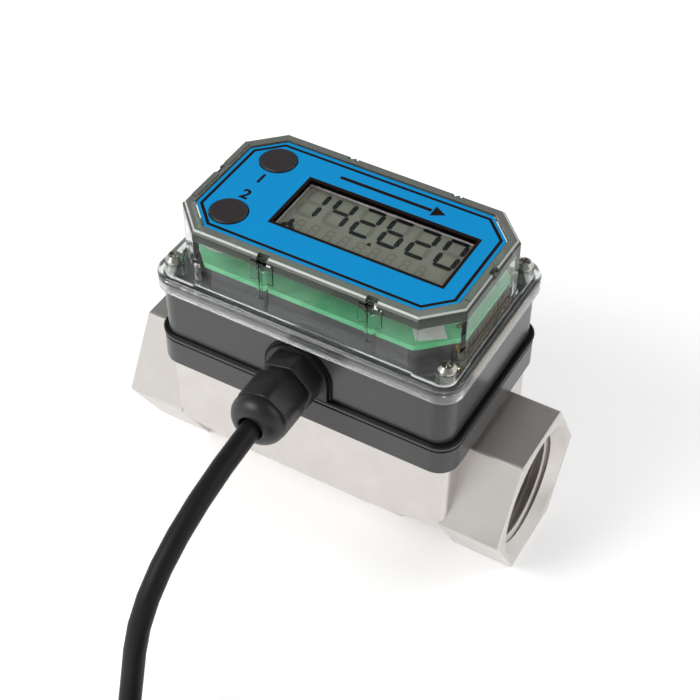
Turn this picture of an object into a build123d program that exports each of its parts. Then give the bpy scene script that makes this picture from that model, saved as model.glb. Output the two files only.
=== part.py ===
from build123d import *
import math
import os

os.makedirs("parts", exist_ok=True)

# Turbine flow meter with a battery display. Millimetres, flow along X, cable leaves along -Y,
# the underside of the metal body at zero height and the middle of its length at X = 0.

# Driving sizes of the metal body
ACROSS_FLATS = 41.5
HEX_LENGTH = 16.0
BLOCK_LENGTH = 86.4
BLOCK_DEPTH = 46.8
BLOCK_CORNER = 1.8
BLOCK_RISE = 22.55
BLOCK_DROP = 4.55
BLOCK_END_LIFT = 3.0
BLOCK_LEVEL_LENGTH = 40.0
BARREL_RADIUS = 17.2
FOOT_LENGTH = 51.0
FOOT_CORNER = 2.0
EDGE_ROUND = 0.9
END_EDGE = 0.4
PORT_RADIUS = 14.95
PORT_DEPTH = 24.0
PORT_MOUTH_RADIUS = 19.0
PORT_STEP_RADIUS = 16.6
PORT_MOUTH_DEPTH = 2.4
PORT_STEP_DEPTH = 1.4

# Driving sizes of the flow tube and the rotor
THROAT_RADIUS = 12.0
THROAT_LENGTH = 16.0
SUPPORT_RADIUS = 13.4
SUPPORT_LENGTH = 19.0
SUPPORT_WALL = 1.4
SUPPORT_CLEARANCE = 0.04
HUB_RADIUS = 5.2
HUB_NOSE = 5.0
HUB_TIP_RADIUS = 2.2
ROTOR_END_GAP = 0.8
VANE_THICKNESS = 1.4
VANE_COUNT = 4
VANE_TURN = 45.0
RING_THICKNESS = 1.2
RING_GROOVE = 0.8
RING_WIDTH = 2.0
RING_GAP_ANGLE = 46.0
ROTOR_HUB_RADIUS = 4.6
ROTOR_HALF_LENGTH = 5.6
BLADE_COUNT = 6
BLADE_THICKNESS = 1.1
BLADE_TWIST = 46.0
BLADE_CLEARANCE = 0.45
BLADE_ROOT = 0.5
SHAFT_RADIUS = 1.5
SHAFT_CHAMFER = 0.3
SHAFT_RUNNING = 0.05
SHAFT_END_PLAY = 0.25
BEARING_RADIUS = 2.9
BEARING_LENGTH = 5.0
SEAT_CLEARANCE = 0.02

# Driving sizes of the seals and the two housings
BODY_SEAL_THICKNESS = 0.75
BODY_SEAL_INSET = 1.3
BASE_MARGIN_X = 1.4
BASE_MARGIN_Y = 0.8
BASE_CORNER = 6.0
BASE_HEIGHT = 9.05
BASE_WALL = 2.6
BASE_FLOOR = 2.2
SEAM_THICKNESS = 1.3
SEAM_WIDTH = 3.6
SEAM_BULGE = 0.25
SEAM_EDGE = 0.4
SEAM_GROOVE_DEPTH = 0.5
SEAM_GROOVE_HEIGHT = 0.7
SEAM_GROOVE_DROP = 0.7
HOUSING_LENGTH = 86.8
HOUSING_DEPTH = 52.0
HOUSING_CORNER = 5.0
HOUSING_HEIGHT = 17.2
HOUSING_WALL = 2.2
HOUSING_FLOOR = 1.8
HATCH_LENGTH = 60.0
HATCH_DEPTH = 36.0
COVER_SEAL_THICKNESS = 0.6
SEAL_INSET = 0.3
SEAL_WIDTH = 1.4

# Driving sizes of the clear cover
FLANGE_OVERHANG = 1.4
FLANGE_CORNER = 6.0
FLANGE_THICKNESS = 3.0
SKIRT_HEIGHT = 2.1
SKIRT_CLEARANCE = 0.15
WINDOW_INSET_X = 3.6
WINDOW_INSET_Y = 3.8
WINDOW_CORNER_CUT = 8.8
WINDOW_WALL = 2.0
WINDOW_HEIGHT = 16.6
WINDOW_BEVEL = 0.9
GROOVE_WIDTH = 1.1
GROOVE_DEPTH = 1.2
GROOVE_OFFSET = 0.35
POCKET_DEPTH = 2.0
POCKET_EDGE = 2.0
COLUMN_RADIUS = 2.6
COLUMN_RISE = 2.0
CLIP_WIDTH = 3.2
CLIP_NOTCH = 1.7
CLIP_POST_RADIUS = 1.7
CLIP_POST_INSET = 0.5
CLIP_SLOT_WIDTH = 0.8
CLIP_SLOT_DEPTH = 0.75
CLIP_SLOT_RISE = 3.4
CLIP_WING_WIDTH = 6.6
CLIP_WING_HEIGHT = 6.0
CLIP_WING_PROUD = 0.45
CLIP_PLACES = (-11.6, 19.4)
SIDE_CLIP_PLACE = 1.2
RIM_BAR_LENGTH = 10.6
RIM_BAR_WIDTH = 1.5
RIM_BAR_HEIGHT = 0.3
RIM_BAR_GAP = 0.8

# Driving sizes of the face label and what lies under it
LABEL_MARGIN_X = 3.2
LABEL_MARGIN_Y = 3.3
LABEL_CORNER_CUT = 7.3
LABEL_THICKNESS = 0.4
LABEL_PLAY = 0.3
LABEL_SINK = 0.45
VIEW_LENGTH = 48.8
VIEW_DEPTH = 19.5
VIEW_CENTRE_X = 7.2
BUTTON_INSET = 9.3
BUTTON_EDGE = 8.2
BUTTON_RADIUS = 5.0
BUTTON_PLAY = 0.3
BUTTON_PROUD = 0.5
BUTTON_RIM = 1.1
BUTTON_RIM_THICKNESS = 0.8
BUTTON_RIM_GAP = 0.15
BUTTON_STEM_RADIUS = 2.0
BUTTON_STEM = 4.4
BUTTON_DOME = 0.35
BUTTON_TRAVEL = 0.6
GUIDE_RADIUS = 8.2
GUIDE_THICKNESS = 1.6
GUIDE_POST_RADIUS = 1.2
GUIDE_POST_REACH = 6.4
SWITCH_SIZE = 6.0
SWITCH_HEIGHT = 2.4
SWITCH_PLUNGER_RADIUS = 1.6
BEZEL_MARGIN = 3.0
BEZEL_HEIGHT = 0.7
LCD_MARGIN = 1.8
LCD_THICKNESS = 2.2
STRIP_WIDTH = 2.4

# Driving sizes of the electronics
BOARD_GAP_X = 0.2
BOARD_GAP_Y = 0.4
BOARD_CORNER_CUT = 8.6
BOARD_THICKNESS = 1.6
BOARD_RISE = 6.8
CARRIER_INSET_X = 2.0
CARRIER_INSET_Y = 0.7
CARRIER_CORNER_CUT = 8.2
CARRIER_WALL = 1.6
CARRIER_NOTCH = 21.0
CARRIER_NOTCH_DEPTH = 5.0
CELL_RADIUS = 7.2
CELL_LENGTH = 50.0
CELL_NUB_RADIUS = 2.4
CELL_NUB = 1.2
CELL_GAP = 0.6
CELL_WALL_GAP = 1.6
PIN_INSET = 6.6
PIN_PITCH = 2.3
PIN_SIZE = 0.9
PIN_BAR_WIDTH = 2.2
PIN_BAR_HEIGHT = 2.0
PIN_LENGTH = 7.6
COIL_WELL_RADIUS = 7.2
COIL_WELL_WALL = 1.8
BOBBIN_PLAY = 0.4
BOBBIN_CORE = 2.6
BOBBIN_HEIGHT = 15.0
BOBBIN_FLANGE = 1.2
WINDING_INSET = 1.2

# Driving sizes of the screws
SCREW_INSET_X = 4.8
SCREW_INSET_Y = 5.6
SCREW_RADIUS = 1.45
SCREW_PLAY = 0.08
SCREW_PASS = 0.3
SCREW_HEAD_RADIUS = 2.45
SCREW_HEAD_HEIGHT = 1.9
SCREW_HEAD_EDGE = 0.9
SCREW_HEAD_EDGE_HEIGHT = 1.1
SCREW_BITE = 4.4
SCREW_BOSS_RADIUS = 3.1
RECESS_LENGTH = 2.7
RECESS_WIDTH = 0.62
RECESS_DEPTH = 0.9
BASE_SCREW_INSET_X = 10.2
BASE_SCREW_INSET_Y = 7.9
BASE_SCREW_LENGTH = 9.0
BASE_SCREW_HOLE_EXTRA = 1.0

# Driving sizes of the cable gland
GLAND_RISE = 5.6
ARCH_RADIUS = 9.1
ARCH_SEAL = 0.9
ARCH_BACKING = 1.0
GLAND_THREAD_RADIUS = 4.7
GLAND_PASS = 0.1
GLAND_HEX = 14.6
GLAND_HEX_LENGTH = 5.6
GLAND_HEX_TURN = 15.0
GLAND_HEX_EDGE = 0.35
GLAND_NECK_RADIUS = 6.2
GLAND_NECK_LENGTH = 8.4
GLAND_TAIL = 11.0
GLAND_BORE = 3.2
NUT_HEX = 14.6
NUT_HEX_TURN = 20.0
NUT_GAP = 2.4
NUT_SHOULDER = 1.8
NUT_HEX_LENGTH = 7.2
NUT_DOME_LENGTH = 4.9
NUT_DOME_RADIUS = 7.0
NUT_DOME_ROUND = 5.4
NUT_MOUTH_RADIUS = 3.4
NUT_THREAD_PLAY = 0.1
NUT_CHAMFER = 0.7
LOCKNUT_THICKNESS = 3.4
INSERT_RADIUS = 4.8
INSERT_LENGTH = 7.0
CABLE_RADIUS = 2.85
CABLE_FIT = 0.02

# Driving sizes of the cable's put-away coil and its bare end
COIL_CENTRE = (62.6, -139.5)
COIL_MEAN_RADIUS = 34.2
COIL_COLUMNS = 3
COIL_LAYERS = 4
COIL_EDGE = 2.2
LEAD_RADIUS = 0.8
LEAD_LENGTH = 22.0
LEAD_PITCH = 1.7
LEAD_COUNT = 3
BARE_LENGTH = 6.0
BARE_RADIUS = 0.45
BEND_SHARE = 0.45

# The cable's route: out of the gland, down in one droop, then along the floor to the coil
CABLE_ROUTE = [(0, -35.5, 60), (0, -94.5, 60), (0, -111, 2.85), (28, -159.5, 2.85)]
TAIL_ROUTE = [(102.5, -145.5, 19.95), (102.5, -123.5, 19.95), (102.5, -95.5, 2.85), (102.5, -73.5, 2.85)]

# Heights and places worked out from the driving sizes
AXIS_Z = ACROSS_FLATS / 2
HEX_RADIUS = ACROSS_FLATS / math.sqrt(3)
HEX_START = BLOCK_LENGTH / 2 - BLOCK_CORNER
BODY_LENGTH = BLOCK_LENGTH + 2 * HEX_LENGTH
BLOCK_TOP = AXIS_Z + BLOCK_RISE
BLOCK_SKIRT = AXIS_Z - BLOCK_DROP
HUB_START = ROTOR_HALF_LENGTH + ROTOR_END_GAP
BASE_LENGTH = HOUSING_LENGTH + 2 * BASE_MARGIN_X
BASE_DEPTH = HOUSING_DEPTH + 2 * BASE_MARGIN_Y
FLANGE_LENGTH = HOUSING_LENGTH + 2 * FLANGE_OVERHANG
FLANGE_DEPTH = HOUSING_DEPTH + 2 * FLANGE_OVERHANG
WINDOW_LENGTH = FLANGE_LENGTH - 2 * WINDOW_INSET_X
WINDOW_DEPTH = FLANGE_DEPTH - 2 * WINDOW_INSET_Y
LABEL_LENGTH = WINDOW_LENGTH - 2 * LABEL_MARGIN_X
LABEL_DEPTH = WINDOW_DEPTH - 2 * LABEL_MARGIN_Y
BOARD_LENGTH = WINDOW_LENGTH - 2 * (WINDOW_WALL + BOARD_GAP_X)
BOARD_DEPTH = WINDOW_DEPTH - 2 * (WINDOW_WALL + BOARD_GAP_Y)
CARRIER_LENGTH = BOARD_LENGTH - 2 * CARRIER_INSET_X
CARRIER_DEPTH = BOARD_DEPTH - 2 * CARRIER_INSET_Y
PIN_COUNT = int((CARRIER_DEPTH - 2 * PIN_INSET) / PIN_PITCH)
CELL_PITCH = 2 * CELL_RADIUS + CELL_GAP
CELL_BACK_Y = CARRIER_DEPTH / 2 - CARRIER_WALL - CELL_WALL_GAP - CELL_RADIUS
BASE_SCREW_X = BLOCK_LENGTH / 2 - BASE_SCREW_INSET_X
BASE_SCREW_Y = BLOCK_DEPTH / 2 - BASE_SCREW_INSET_Y
SCREW_X = FLANGE_LENGTH / 2 - SCREW_INSET_X
SCREW_Y = FLANGE_DEPTH / 2 - SCREW_INSET_Y
BUTTON_X = BUTTON_INSET - LABEL_LENGTH / 2
BUTTON_Y = LABEL_DEPTH / 2 - BUTTON_EDGE
BOBBIN_RADIUS = COIL_WELL_RADIUS - BOBBIN_PLAY
WINDING_RADIUS = BOBBIN_RADIUS - WINDING_INSET
BASE_Z = BLOCK_TOP + BODY_SEAL_THICKNESS
SEAM_Z = BASE_Z + BASE_HEIGHT
HOUSING_Z = SEAM_Z + SEAM_THICKNESS
HOUSING_TOP = HOUSING_Z + HOUSING_HEIGHT
FLANGE_Z = HOUSING_TOP + COVER_SEAL_THICKNESS
FLANGE_TOP = FLANGE_Z + FLANGE_THICKNESS
COVER_TOP = FLANGE_TOP + WINDOW_HEIGHT
LABEL_Z = COVER_TOP - LABEL_SINK
LABEL_FLOOR = LABEL_Z - LABEL_THICKNESS
CEILING_Z = LABEL_FLOOR - WINDOW_WALL + LABEL_SINK
BOARD_Z = FLANGE_Z + BOARD_RISE
BOARD_TOP = BOARD_Z + BOARD_THICKNESS
GLAND_Z = HOUSING_Z + GLAND_RISE
SUPPORT_START = THROAT_LENGTH / 2
SUPPORT_END = SUPPORT_START + SUPPORT_LENGTH
PORT_START = BODY_LENGTH / 2 - PORT_DEPTH
WELL_FLOOR = AXIS_Z + THROAT_RADIUS + COIL_WELL_WALL
COLUMN_TOP = FLANGE_TOP + COLUMN_RISE
GLAND_FACE_Y = -FLANGE_DEPTH / 2
HOUSING_FACE_Y = -HOUSING_DEPTH / 2
ARCH_BACK_Y = HOUSING_FACE_Y + HOUSING_WALL + ARCH_BACKING
CARRIER_Z = HOUSING_Z + HOUSING_FLOOR
WELL_RADIUS = BUTTON_RADIUS + BUTTON_PLAY
SCREW_PLACES = [(sx * SCREW_X, sy * SCREW_Y) for sx in (-1, 1) for sy in (-1, 1)]
BASE_SCREW_PLACES = [(sx * BASE_SCREW_X, sy * BASE_SCREW_Y) for sx in (-1, 1) for sy in (-1, 1)]


def flow_plane(x, z=AXIS_Z):
    """Plane across the flow at x, with its centre on the pipe's axis and its normal along +X."""
    return Plane(origin=(x, 0, z), x_dir=(0, 1, 0), z_dir=(1, 0, 0))


def cable_plane(y, z=GLAND_Z):
    """Plane across the gland at y, with its centre on the gland's axis and its normal along -Y."""
    return Plane(origin=(0, y, z), x_dir=(1, 0, 0), z_dir=(0, -1, 0))


def octagon(length, depth, cut):
    """Corners of a rectangle with four cut corners, as one closed outline."""
    x, y = length / 2, depth / 2
    return [(-x + cut, -y), (x - cut, -y), (x, -y + cut), (x, y - cut),
            (x - cut, y), (-x + cut, y), (-x, y - cut), (-x, -y + cut)]


# Metal body: a block that carries the display, two hexagon ends, a barrel between them and a foot
with BuildPart() as body:
    with BuildSketch(Plane.XZ):
        with BuildLine():
            half_block = BLOCK_LENGTH / 2
            half_level = BLOCK_LEVEL_LENGTH / 2
            block_end_z = BLOCK_SKIRT + BLOCK_END_LIFT
            Polyline((-half_block, BLOCK_TOP), (-half_block, block_end_z), (-half_level, BLOCK_SKIRT),
                     (half_level, BLOCK_SKIRT), (half_block, block_end_z), (half_block, BLOCK_TOP),
                     close=True)
        make_face()
    extrude(amount=BLOCK_DEPTH / 2, both=True)
    fillet(body.edges().filter_by(Axis.Z), BLOCK_CORNER)
    for side in (-1, 1):
        with BuildSketch(flow_plane(side * HEX_START)) as hexagon:
            RegularPolygon(HEX_RADIUS, 6, rotation=0)
            fillet(hexagon.vertices(), EDGE_ROUND)
        extrude(amount=side * (BODY_LENGTH / 2 - HEX_START))
    end_faces = body.faces().filter_by(Axis.X).sort_by(Axis.X)
    chamfer(end_faces[0].edges() + end_faces[-1].edges(), END_EDGE)
    with BuildSketch(flow_plane(-BLOCK_LENGTH / 2)):
        Circle(BARREL_RADIUS)
    extrude(amount=BLOCK_LENGTH)
    with BuildSketch(Plane.XY):
        RectangleRounded(FOOT_LENGTH, HEX_RADIUS, FOOT_CORNER)
    extrude(amount=AXIS_Z)
    foot_face = body.faces().filter_by(Axis.Z).group_by(Axis.Z)[0].sort_by(Axis.X)[1]
    chamfer(foot_face.edges(), EDGE_ROUND)
    flow_axis = Axis((0, 0, AXIS_Z), (1, 0, 0))
    with BuildSketch(Plane.XZ):
        with BuildLine():
            Polyline(
                (0, AXIS_Z), (0, AXIS_Z + THROAT_RADIUS), (SUPPORT_START, AXIS_Z + THROAT_RADIUS),
                (SUPPORT_START, AXIS_Z + SUPPORT_RADIUS), (PORT_START, AXIS_Z + SUPPORT_RADIUS),
                (PORT_START + PORT_RADIUS - SUPPORT_RADIUS, AXIS_Z + PORT_RADIUS),
                (BODY_LENGTH / 2 - PORT_MOUTH_DEPTH - PORT_STEP_DEPTH, AXIS_Z + PORT_RADIUS),
                (BODY_LENGTH / 2 - PORT_MOUTH_DEPTH, AXIS_Z + PORT_STEP_RADIUS),
                (BODY_LENGTH / 2, AXIS_Z + PORT_MOUTH_RADIUS), (BODY_LENGTH / 2, AXIS_Z), close=True)
        make_face()
        mirror(about=Plane.YZ)
    revolve(axis=flow_axis, mode=Mode.SUBTRACT)
    for side in (-1, 1):
        with BuildSketch(flow_plane(side * SUPPORT_END)):
            Circle(SUPPORT_RADIUS + RING_GROOVE)
        extrude(amount=side * RING_THICKNESS, mode=Mode.SUBTRACT)
    with BuildSketch(Plane.XY.offset(WELL_FLOOR)):
        Circle(COIL_WELL_RADIUS)
    extrude(amount=BLOCK_TOP - WELL_FLOOR, mode=Mode.SUBTRACT)
    with BuildSketch(Plane.XY.offset(BLOCK_TOP)):
        with Locations(*BASE_SCREW_PLACES):
            Circle(SCREW_RADIUS + SCREW_PLAY)
    extrude(amount=-(BASE_SCREW_LENGTH - BASE_FLOOR - BODY_SEAL_THICKNESS + BASE_SCREW_HOLE_EXTRA),
            mode=Mode.SUBTRACT)
body.part.label = "meter_body"
export_step(body.part, "parts/meter_body.step")


# Inlet rotor support: rim, vanes and hub with a coned nose, and a seat for the shaft's bearing
with BuildPart() as inlet_support:
    with BuildSketch(flow_plane(-SUPPORT_END)):
        Circle(SUPPORT_RADIUS - SUPPORT_CLEARANCE)
        Circle(SUPPORT_RADIUS - SUPPORT_WALL, mode=Mode.SUBTRACT)
    extrude(amount=SUPPORT_LENGTH)
    with BuildSketch(flow_plane(-SUPPORT_END + HUB_NOSE / 2)):
        with PolarLocations(0, VANE_COUNT, start_angle=VANE_TURN):
            with Locations((SUPPORT_RADIUS / 2 - SUPPORT_WALL / 4, 0)):
                Rectangle(SUPPORT_RADIUS - SUPPORT_WALL / 2, VANE_THICKNESS)
    extrude(amount=SUPPORT_LENGTH - HUB_NOSE)
    with BuildSketch(Plane.XZ):
        with BuildLine():
            Polyline((-SUPPORT_END, AXIS_Z), (-HUB_START, AXIS_Z), (-HUB_START, AXIS_Z + HUB_RADIUS),
                     (-SUPPORT_END + HUB_NOSE, AXIS_Z + HUB_RADIUS), (-SUPPORT_END, AXIS_Z + HUB_TIP_RADIUS),
                     close=True)
        make_face()
    revolve(axis=flow_axis)
    with BuildSketch(flow_plane(-HUB_START)):
        Circle(BEARING_RADIUS + SEAT_CLEARANCE)
    extrude(amount=-BEARING_LENGTH, mode=Mode.SUBTRACT)
inlet_support.part.label = "inlet_rotor_support"
export_step(inlet_support.part, "parts/inlet_rotor_support.step")

# Outlet rotor support: the inlet one mirrored across the rotor
with BuildPart() as outlet_support:
    add(mirror(inlet_support.part, about=Plane.YZ, mode=Mode.PRIVATE))
outlet_support.part.label = "outlet_rotor_support"
export_step(outlet_support.part, "parts/outlet_rotor_support.step")


def retaining_ring(side):
    """Open spring ring in the groove outside a rotor support, with its gap at the bottom."""
    with BuildPart() as ring:
        with BuildSketch(flow_plane(side * SUPPORT_END)):
            Circle(SUPPORT_RADIUS + RING_GROOVE - SUPPORT_CLEARANCE)
            Circle(SUPPORT_RADIUS + RING_GROOVE - RING_WIDTH, mode=Mode.SUBTRACT)
            with BuildLine():
                reach = SUPPORT_RADIUS * 2
                half = math.radians(RING_GAP_ANGLE / 2)
                Polyline((0, 0), (-reach * math.sin(half), -reach * math.cos(half)),
                         (reach * math.sin(half), -reach * math.cos(half)), close=True)
            make_face(mode=Mode.SUBTRACT)
        extrude(amount=side * RING_THICKNESS)
    return ring.part


def shaft_bearing(side):
    """Plain bush in the hub of a rotor support."""
    with BuildPart() as bearing:
        with BuildSketch(flow_plane(side * HUB_START)):
            Circle(BEARING_RADIUS)
            Circle(SHAFT_RADIUS + SHAFT_RUNNING, mode=Mode.SUBTRACT)
        extrude(amount=side * BEARING_LENGTH)
    return bearing.part


for side, end in ((-1, "inlet"), (1, "outlet")):
    ring_part = retaining_ring(side)
    ring_part.label = f"{end}_retaining_ring"
    export_step(ring_part, f"parts/{end}_retaining_ring.step")
    bearing_part = shaft_bearing(side)
    bearing_part.label = f"{end}_shaft_bearing"
    export_step(bearing_part, f"parts/{end}_shaft_bearing.step")

# Rotor shaft, short of the bottoms of both bearing seats by its end play
with BuildPart() as shaft:
    shaft_half = HUB_START + BEARING_LENGTH - SHAFT_END_PLAY
    with BuildSketch(flow_plane(-shaft_half)):
        Circle(SHAFT_RADIUS)
    extrude(amount=2 * shaft_half)
    chamfer(shaft.edges().filter_by(GeomType.CIRCLE), SHAFT_CHAMFER)
shaft.part.label = "rotor_shaft"
export_step(shaft.part, "parts/rotor_shaft.step")

# Turbine rotor: a hub with twisted blades, each lofted through three turned sections
with BuildPart() as rotor:
    with BuildSketch(flow_plane(-ROTOR_HALF_LENGTH)):
        Circle(ROTOR_HUB_RADIUS)
    extrude(amount=2 * ROTOR_HALF_LENGTH)
    chamfer(rotor.edges().filter_by(GeomType.CIRCLE), BLADE_ROOT)
    blade_tip = THROAT_RADIUS - BLADE_CLEARANCE
    blade_foot = ROTOR_HUB_RADIUS - BLADE_ROOT * 2
    for blade in range(BLADE_COUNT):
        for step in (-1, 0, 1):
            turn = blade * 360 / BLADE_COUNT + step * BLADE_TWIST / 2
            with BuildSketch(flow_plane(step * (ROTOR_HALF_LENGTH - BLADE_ROOT))):
                with Locations(Rotation(0, 0, turn)):
                    with Locations(((blade_tip + blade_foot) / 2, 0)):
                        Rectangle(blade_tip - blade_foot, BLADE_THICKNESS)
        loft()
    with BuildSketch(flow_plane(-ROTOR_HALF_LENGTH)):
        Circle(SHAFT_RADIUS + SEAT_CLEARANCE)
    extrude(amount=2 * ROTOR_HALF_LENGTH, mode=Mode.SUBTRACT)
rotor.part.label = "turbine_rotor"
export_step(rotor.part, "parts/turbine_rotor.step")

# Flat seal between the metal body and the base
with BuildPart() as body_seal:
    with BuildSketch(Plane.XY.offset(BLOCK_TOP)):
        RectangleRounded(BLOCK_LENGTH - 2 * BODY_SEAL_INSET, BLOCK_DEPTH - 2 * BODY_SEAL_INSET, BLOCK_CORNER)
        Circle(COIL_WELL_RADIUS, mode=Mode.SUBTRACT)
        with Locations(*BASE_SCREW_PLACES):
            Circle(SCREW_RADIUS + SCREW_PASS, mode=Mode.SUBTRACT)
    extrude(amount=BODY_SEAL_THICKNESS)
body_seal.part.label = "body_seal"
export_step(body_seal.part, "parts/body_seal.step")

# Base: shallow tray with four corner bosses, a hole over the coil well and a shadow groove
with BuildPart() as base:
    with BuildSketch(Plane.XY.offset(BASE_Z)):
        RectangleRounded(BASE_LENGTH, BASE_DEPTH, BASE_CORNER)
    extrude(amount=BASE_HEIGHT)
    with BuildSketch(Plane.XY.offset(BASE_Z + BASE_FLOOR)):
        RectangleRounded(BASE_LENGTH - 2 * BASE_WALL, BASE_DEPTH - 2 * BASE_WALL, BASE_CORNER - BASE_WALL)
        with Locations(*SCREW_PLACES):
            Circle(SCREW_BOSS_RADIUS, mode=Mode.SUBTRACT)
    extrude(amount=BASE_HEIGHT - BASE_FLOOR, mode=Mode.SUBTRACT)
    with BuildSketch(Plane.XY.offset(BASE_Z)):
        Circle(COIL_WELL_RADIUS)
        with Locations(*BASE_SCREW_PLACES):
            Circle(SCREW_RADIUS + SCREW_PASS)
    extrude(amount=BASE_FLOOR, mode=Mode.SUBTRACT)
    with BuildSketch(Plane.XY.offset(SEAM_Z)):
        with Locations(*SCREW_PLACES):
            Circle(SCREW_RADIUS + SCREW_PLAY)
    extrude(amount=-(SCREW_BITE + BASE_SCREW_HOLE_EXTRA), mode=Mode.SUBTRACT)
    with BuildSketch(Plane.XY.offset(SEAM_Z - SEAM_GROOVE_DROP - SEAM_GROOVE_HEIGHT)):
        RectangleRounded(BASE_LENGTH, BASE_DEPTH, BASE_CORNER)
        RectangleRounded(BASE_LENGTH - 2 * SEAM_GROOVE_DEPTH, BASE_DEPTH - 2 * SEAM_GROOVE_DEPTH,
                         BASE_CORNER - SEAM_GROOVE_DEPTH, mode=Mode.SUBTRACT)
    extrude(amount=SEAM_GROOVE_HEIGHT, mode=Mode.SUBTRACT)
base.part.label = "base_housing"
export_step(base.part, "parts/base_housing.step")


def pan_screw(x, y, under_head, length):
    """Pan-head screw with a sloped rim, its shank pointing down from under_head."""
    with BuildPart() as screw:
        with BuildSketch(Plane.XY.offset(under_head)):
            with Locations((x, y)):
                Circle(SCREW_HEAD_RADIUS)
        extrude(amount=SCREW_HEAD_HEIGHT)
        chamfer(screw.faces().sort_by(Axis.Z)[-1].edges(), SCREW_HEAD_EDGE_HEIGHT, SCREW_HEAD_EDGE)
        with BuildSketch(Plane.XY.offset(under_head)):
            with Locations((x, y)):
                Circle(SCREW_RADIUS)
        extrude(amount=-length)
    return screw.part


def cross_recess(x, y, head_top):
    """Crossed driver recess for a screw head whose top is at head_top."""
    with BuildPart() as recess:
        with BuildSketch(Plane.XY.offset(head_top)):
            with Locations((x, y)):
                Rectangle(RECESS_LENGTH, RECESS_WIDTH)
                Rectangle(RECESS_WIDTH, RECESS_LENGTH)
        extrude(amount=-RECESS_DEPTH)
    return recess.part


cover_screw_length = COLUMN_TOP - SEAM_Z + SCREW_BITE
for number, (x, y) in enumerate(SCREW_PLACES, start=1):
    with BuildPart() as cover_screw:
        add(pan_screw(x, y, COLUMN_TOP, cover_screw_length))
        add(cross_recess(x, y, COLUMN_TOP + SCREW_HEAD_HEIGHT), mode=Mode.SUBTRACT)
    cover_screw.part.label = f"cover_screw_{number}"
    export_step(cover_screw.part, f"parts/cover_screw_{number}.step")
for number, (x, y) in enumerate(BASE_SCREW_PLACES, start=1):
    base_screw = pan_screw(x, y, BASE_Z + BASE_FLOOR, BASE_SCREW_LENGTH)
    base_screw.label = f"base_screw_{number}"
    export_step(base_screw, f"parts/base_screw_{number}.step")

# Seam gasket: a ring with corner pads between base and housing, bulging a little beyond them
with BuildPart() as seam:
    with BuildSketch(Plane.XY.offset(SEAM_Z)):
        RectangleRounded(BASE_LENGTH + 2 * SEAM_BULGE, BASE_DEPTH + 2 * SEAM_BULGE, BASE_CORNER + SEAM_BULGE)
        RectangleRounded(BASE_LENGTH - 2 * SEAM_WIDTH, BASE_DEPTH - 2 * SEAM_WIDTH,
                         BASE_CORNER - BASE_WALL, mode=Mode.SUBTRACT)
        with Locations(*SCREW_PLACES):
            Circle(SCREW_BOSS_RADIUS)
            Circle(SCREW_RADIUS + SCREW_PASS, mode=Mode.SUBTRACT)
    extrude(amount=SEAM_THICKNESS)
    outer_rims = seam.edges().filter_by(
        lambda e: abs(abs(e.center().Y) - BASE_DEPTH / 2 - SEAM_BULGE) < SEAT_CLEARANCE
        and e.length > BASE_LENGTH / 2)
    chamfer(outer_rims, SEAM_EDGE)
seam.part.label = "seam_gasket"
export_step(seam.part, "parts/seam_gasket.step")


def arch(radius, foot):
    """Outline of an arch round the gland's axis, with straight legs down to the height foot."""
    with BuildSketch(cable_plane(ARCH_BACK_Y)) as outline:
        Circle(radius)
        with Locations((0, (foot - GLAND_Z) / 2)):
            Rectangle(2 * radius, GLAND_Z - foot)
        with Locations((0, (foot - GLAND_Z + radius) / 2)):
            Rectangle(2 * radius, radius + GLAND_Z - foot, mode=Mode.INTERSECT)
    return outline.sketch


# Housing: open-topped shell with four corner pillars and an arched slot for the gland plate
with BuildPart() as housing:
    with BuildSketch(Plane.XY.offset(HOUSING_Z)):
        RectangleRounded(HOUSING_LENGTH, HOUSING_DEPTH, HOUSING_CORNER)
    extrude(amount=HOUSING_HEIGHT)
    with BuildSketch(Plane.XY.offset(HOUSING_Z + HOUSING_FLOOR)):
        RectangleRounded(HOUSING_LENGTH - 2 * HOUSING_WALL, HOUSING_DEPTH - 2 * HOUSING_WALL,
                         HOUSING_CORNER - HOUSING_WALL)
        with Locations(*SCREW_PLACES):
            Circle(SCREW_BOSS_RADIUS, mode=Mode.SUBTRACT)
    extrude(amount=HOUSING_HEIGHT - HOUSING_FLOOR, mode=Mode.SUBTRACT)
    with BuildSketch(Plane.XY.offset(HOUSING_Z)):
        with Locations((0, HOUSING_FACE_Y + HOUSING_WALL + HATCH_DEPTH / 2)):
            Rectangle(HATCH_LENGTH, HATCH_DEPTH)
    extrude(amount=HOUSING_FLOOR, mode=Mode.SUBTRACT)
    with BuildSketch(Plane.XY.offset(HOUSING_Z)):
        with Locations(*SCREW_PLACES):
            Circle(SCREW_RADIUS + SCREW_PASS)
    extrude(amount=HOUSING_HEIGHT, mode=Mode.SUBTRACT)
    add(extrude(arch(ARCH_RADIUS + ARCH_SEAL, HOUSING_Z), amount=GLAND_TAIL, mode=Mode.PRIVATE),
        mode=Mode.SUBTRACT)
housing.part.label = "module_housing"
export_step(housing.part, "parts/module_housing.step")

# Gland plate: the arched insert that carries the cable gland
with BuildPart() as gland_plate:
    add(extrude(arch(ARCH_RADIUS, HOUSING_Z), amount=ARCH_BACK_Y - GLAND_FACE_Y, mode=Mode.PRIVATE))
    with BuildSketch(cable_plane(ARCH_BACK_Y)):
        Circle(GLAND_THREAD_RADIUS + GLAND_PASS)
    extrude(amount=ARCH_BACK_Y - GLAND_FACE_Y, mode=Mode.SUBTRACT)
gland_plate.part.label = "gland_plate"
export_step(gland_plate.part, "parts/gland_plate.step")

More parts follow.
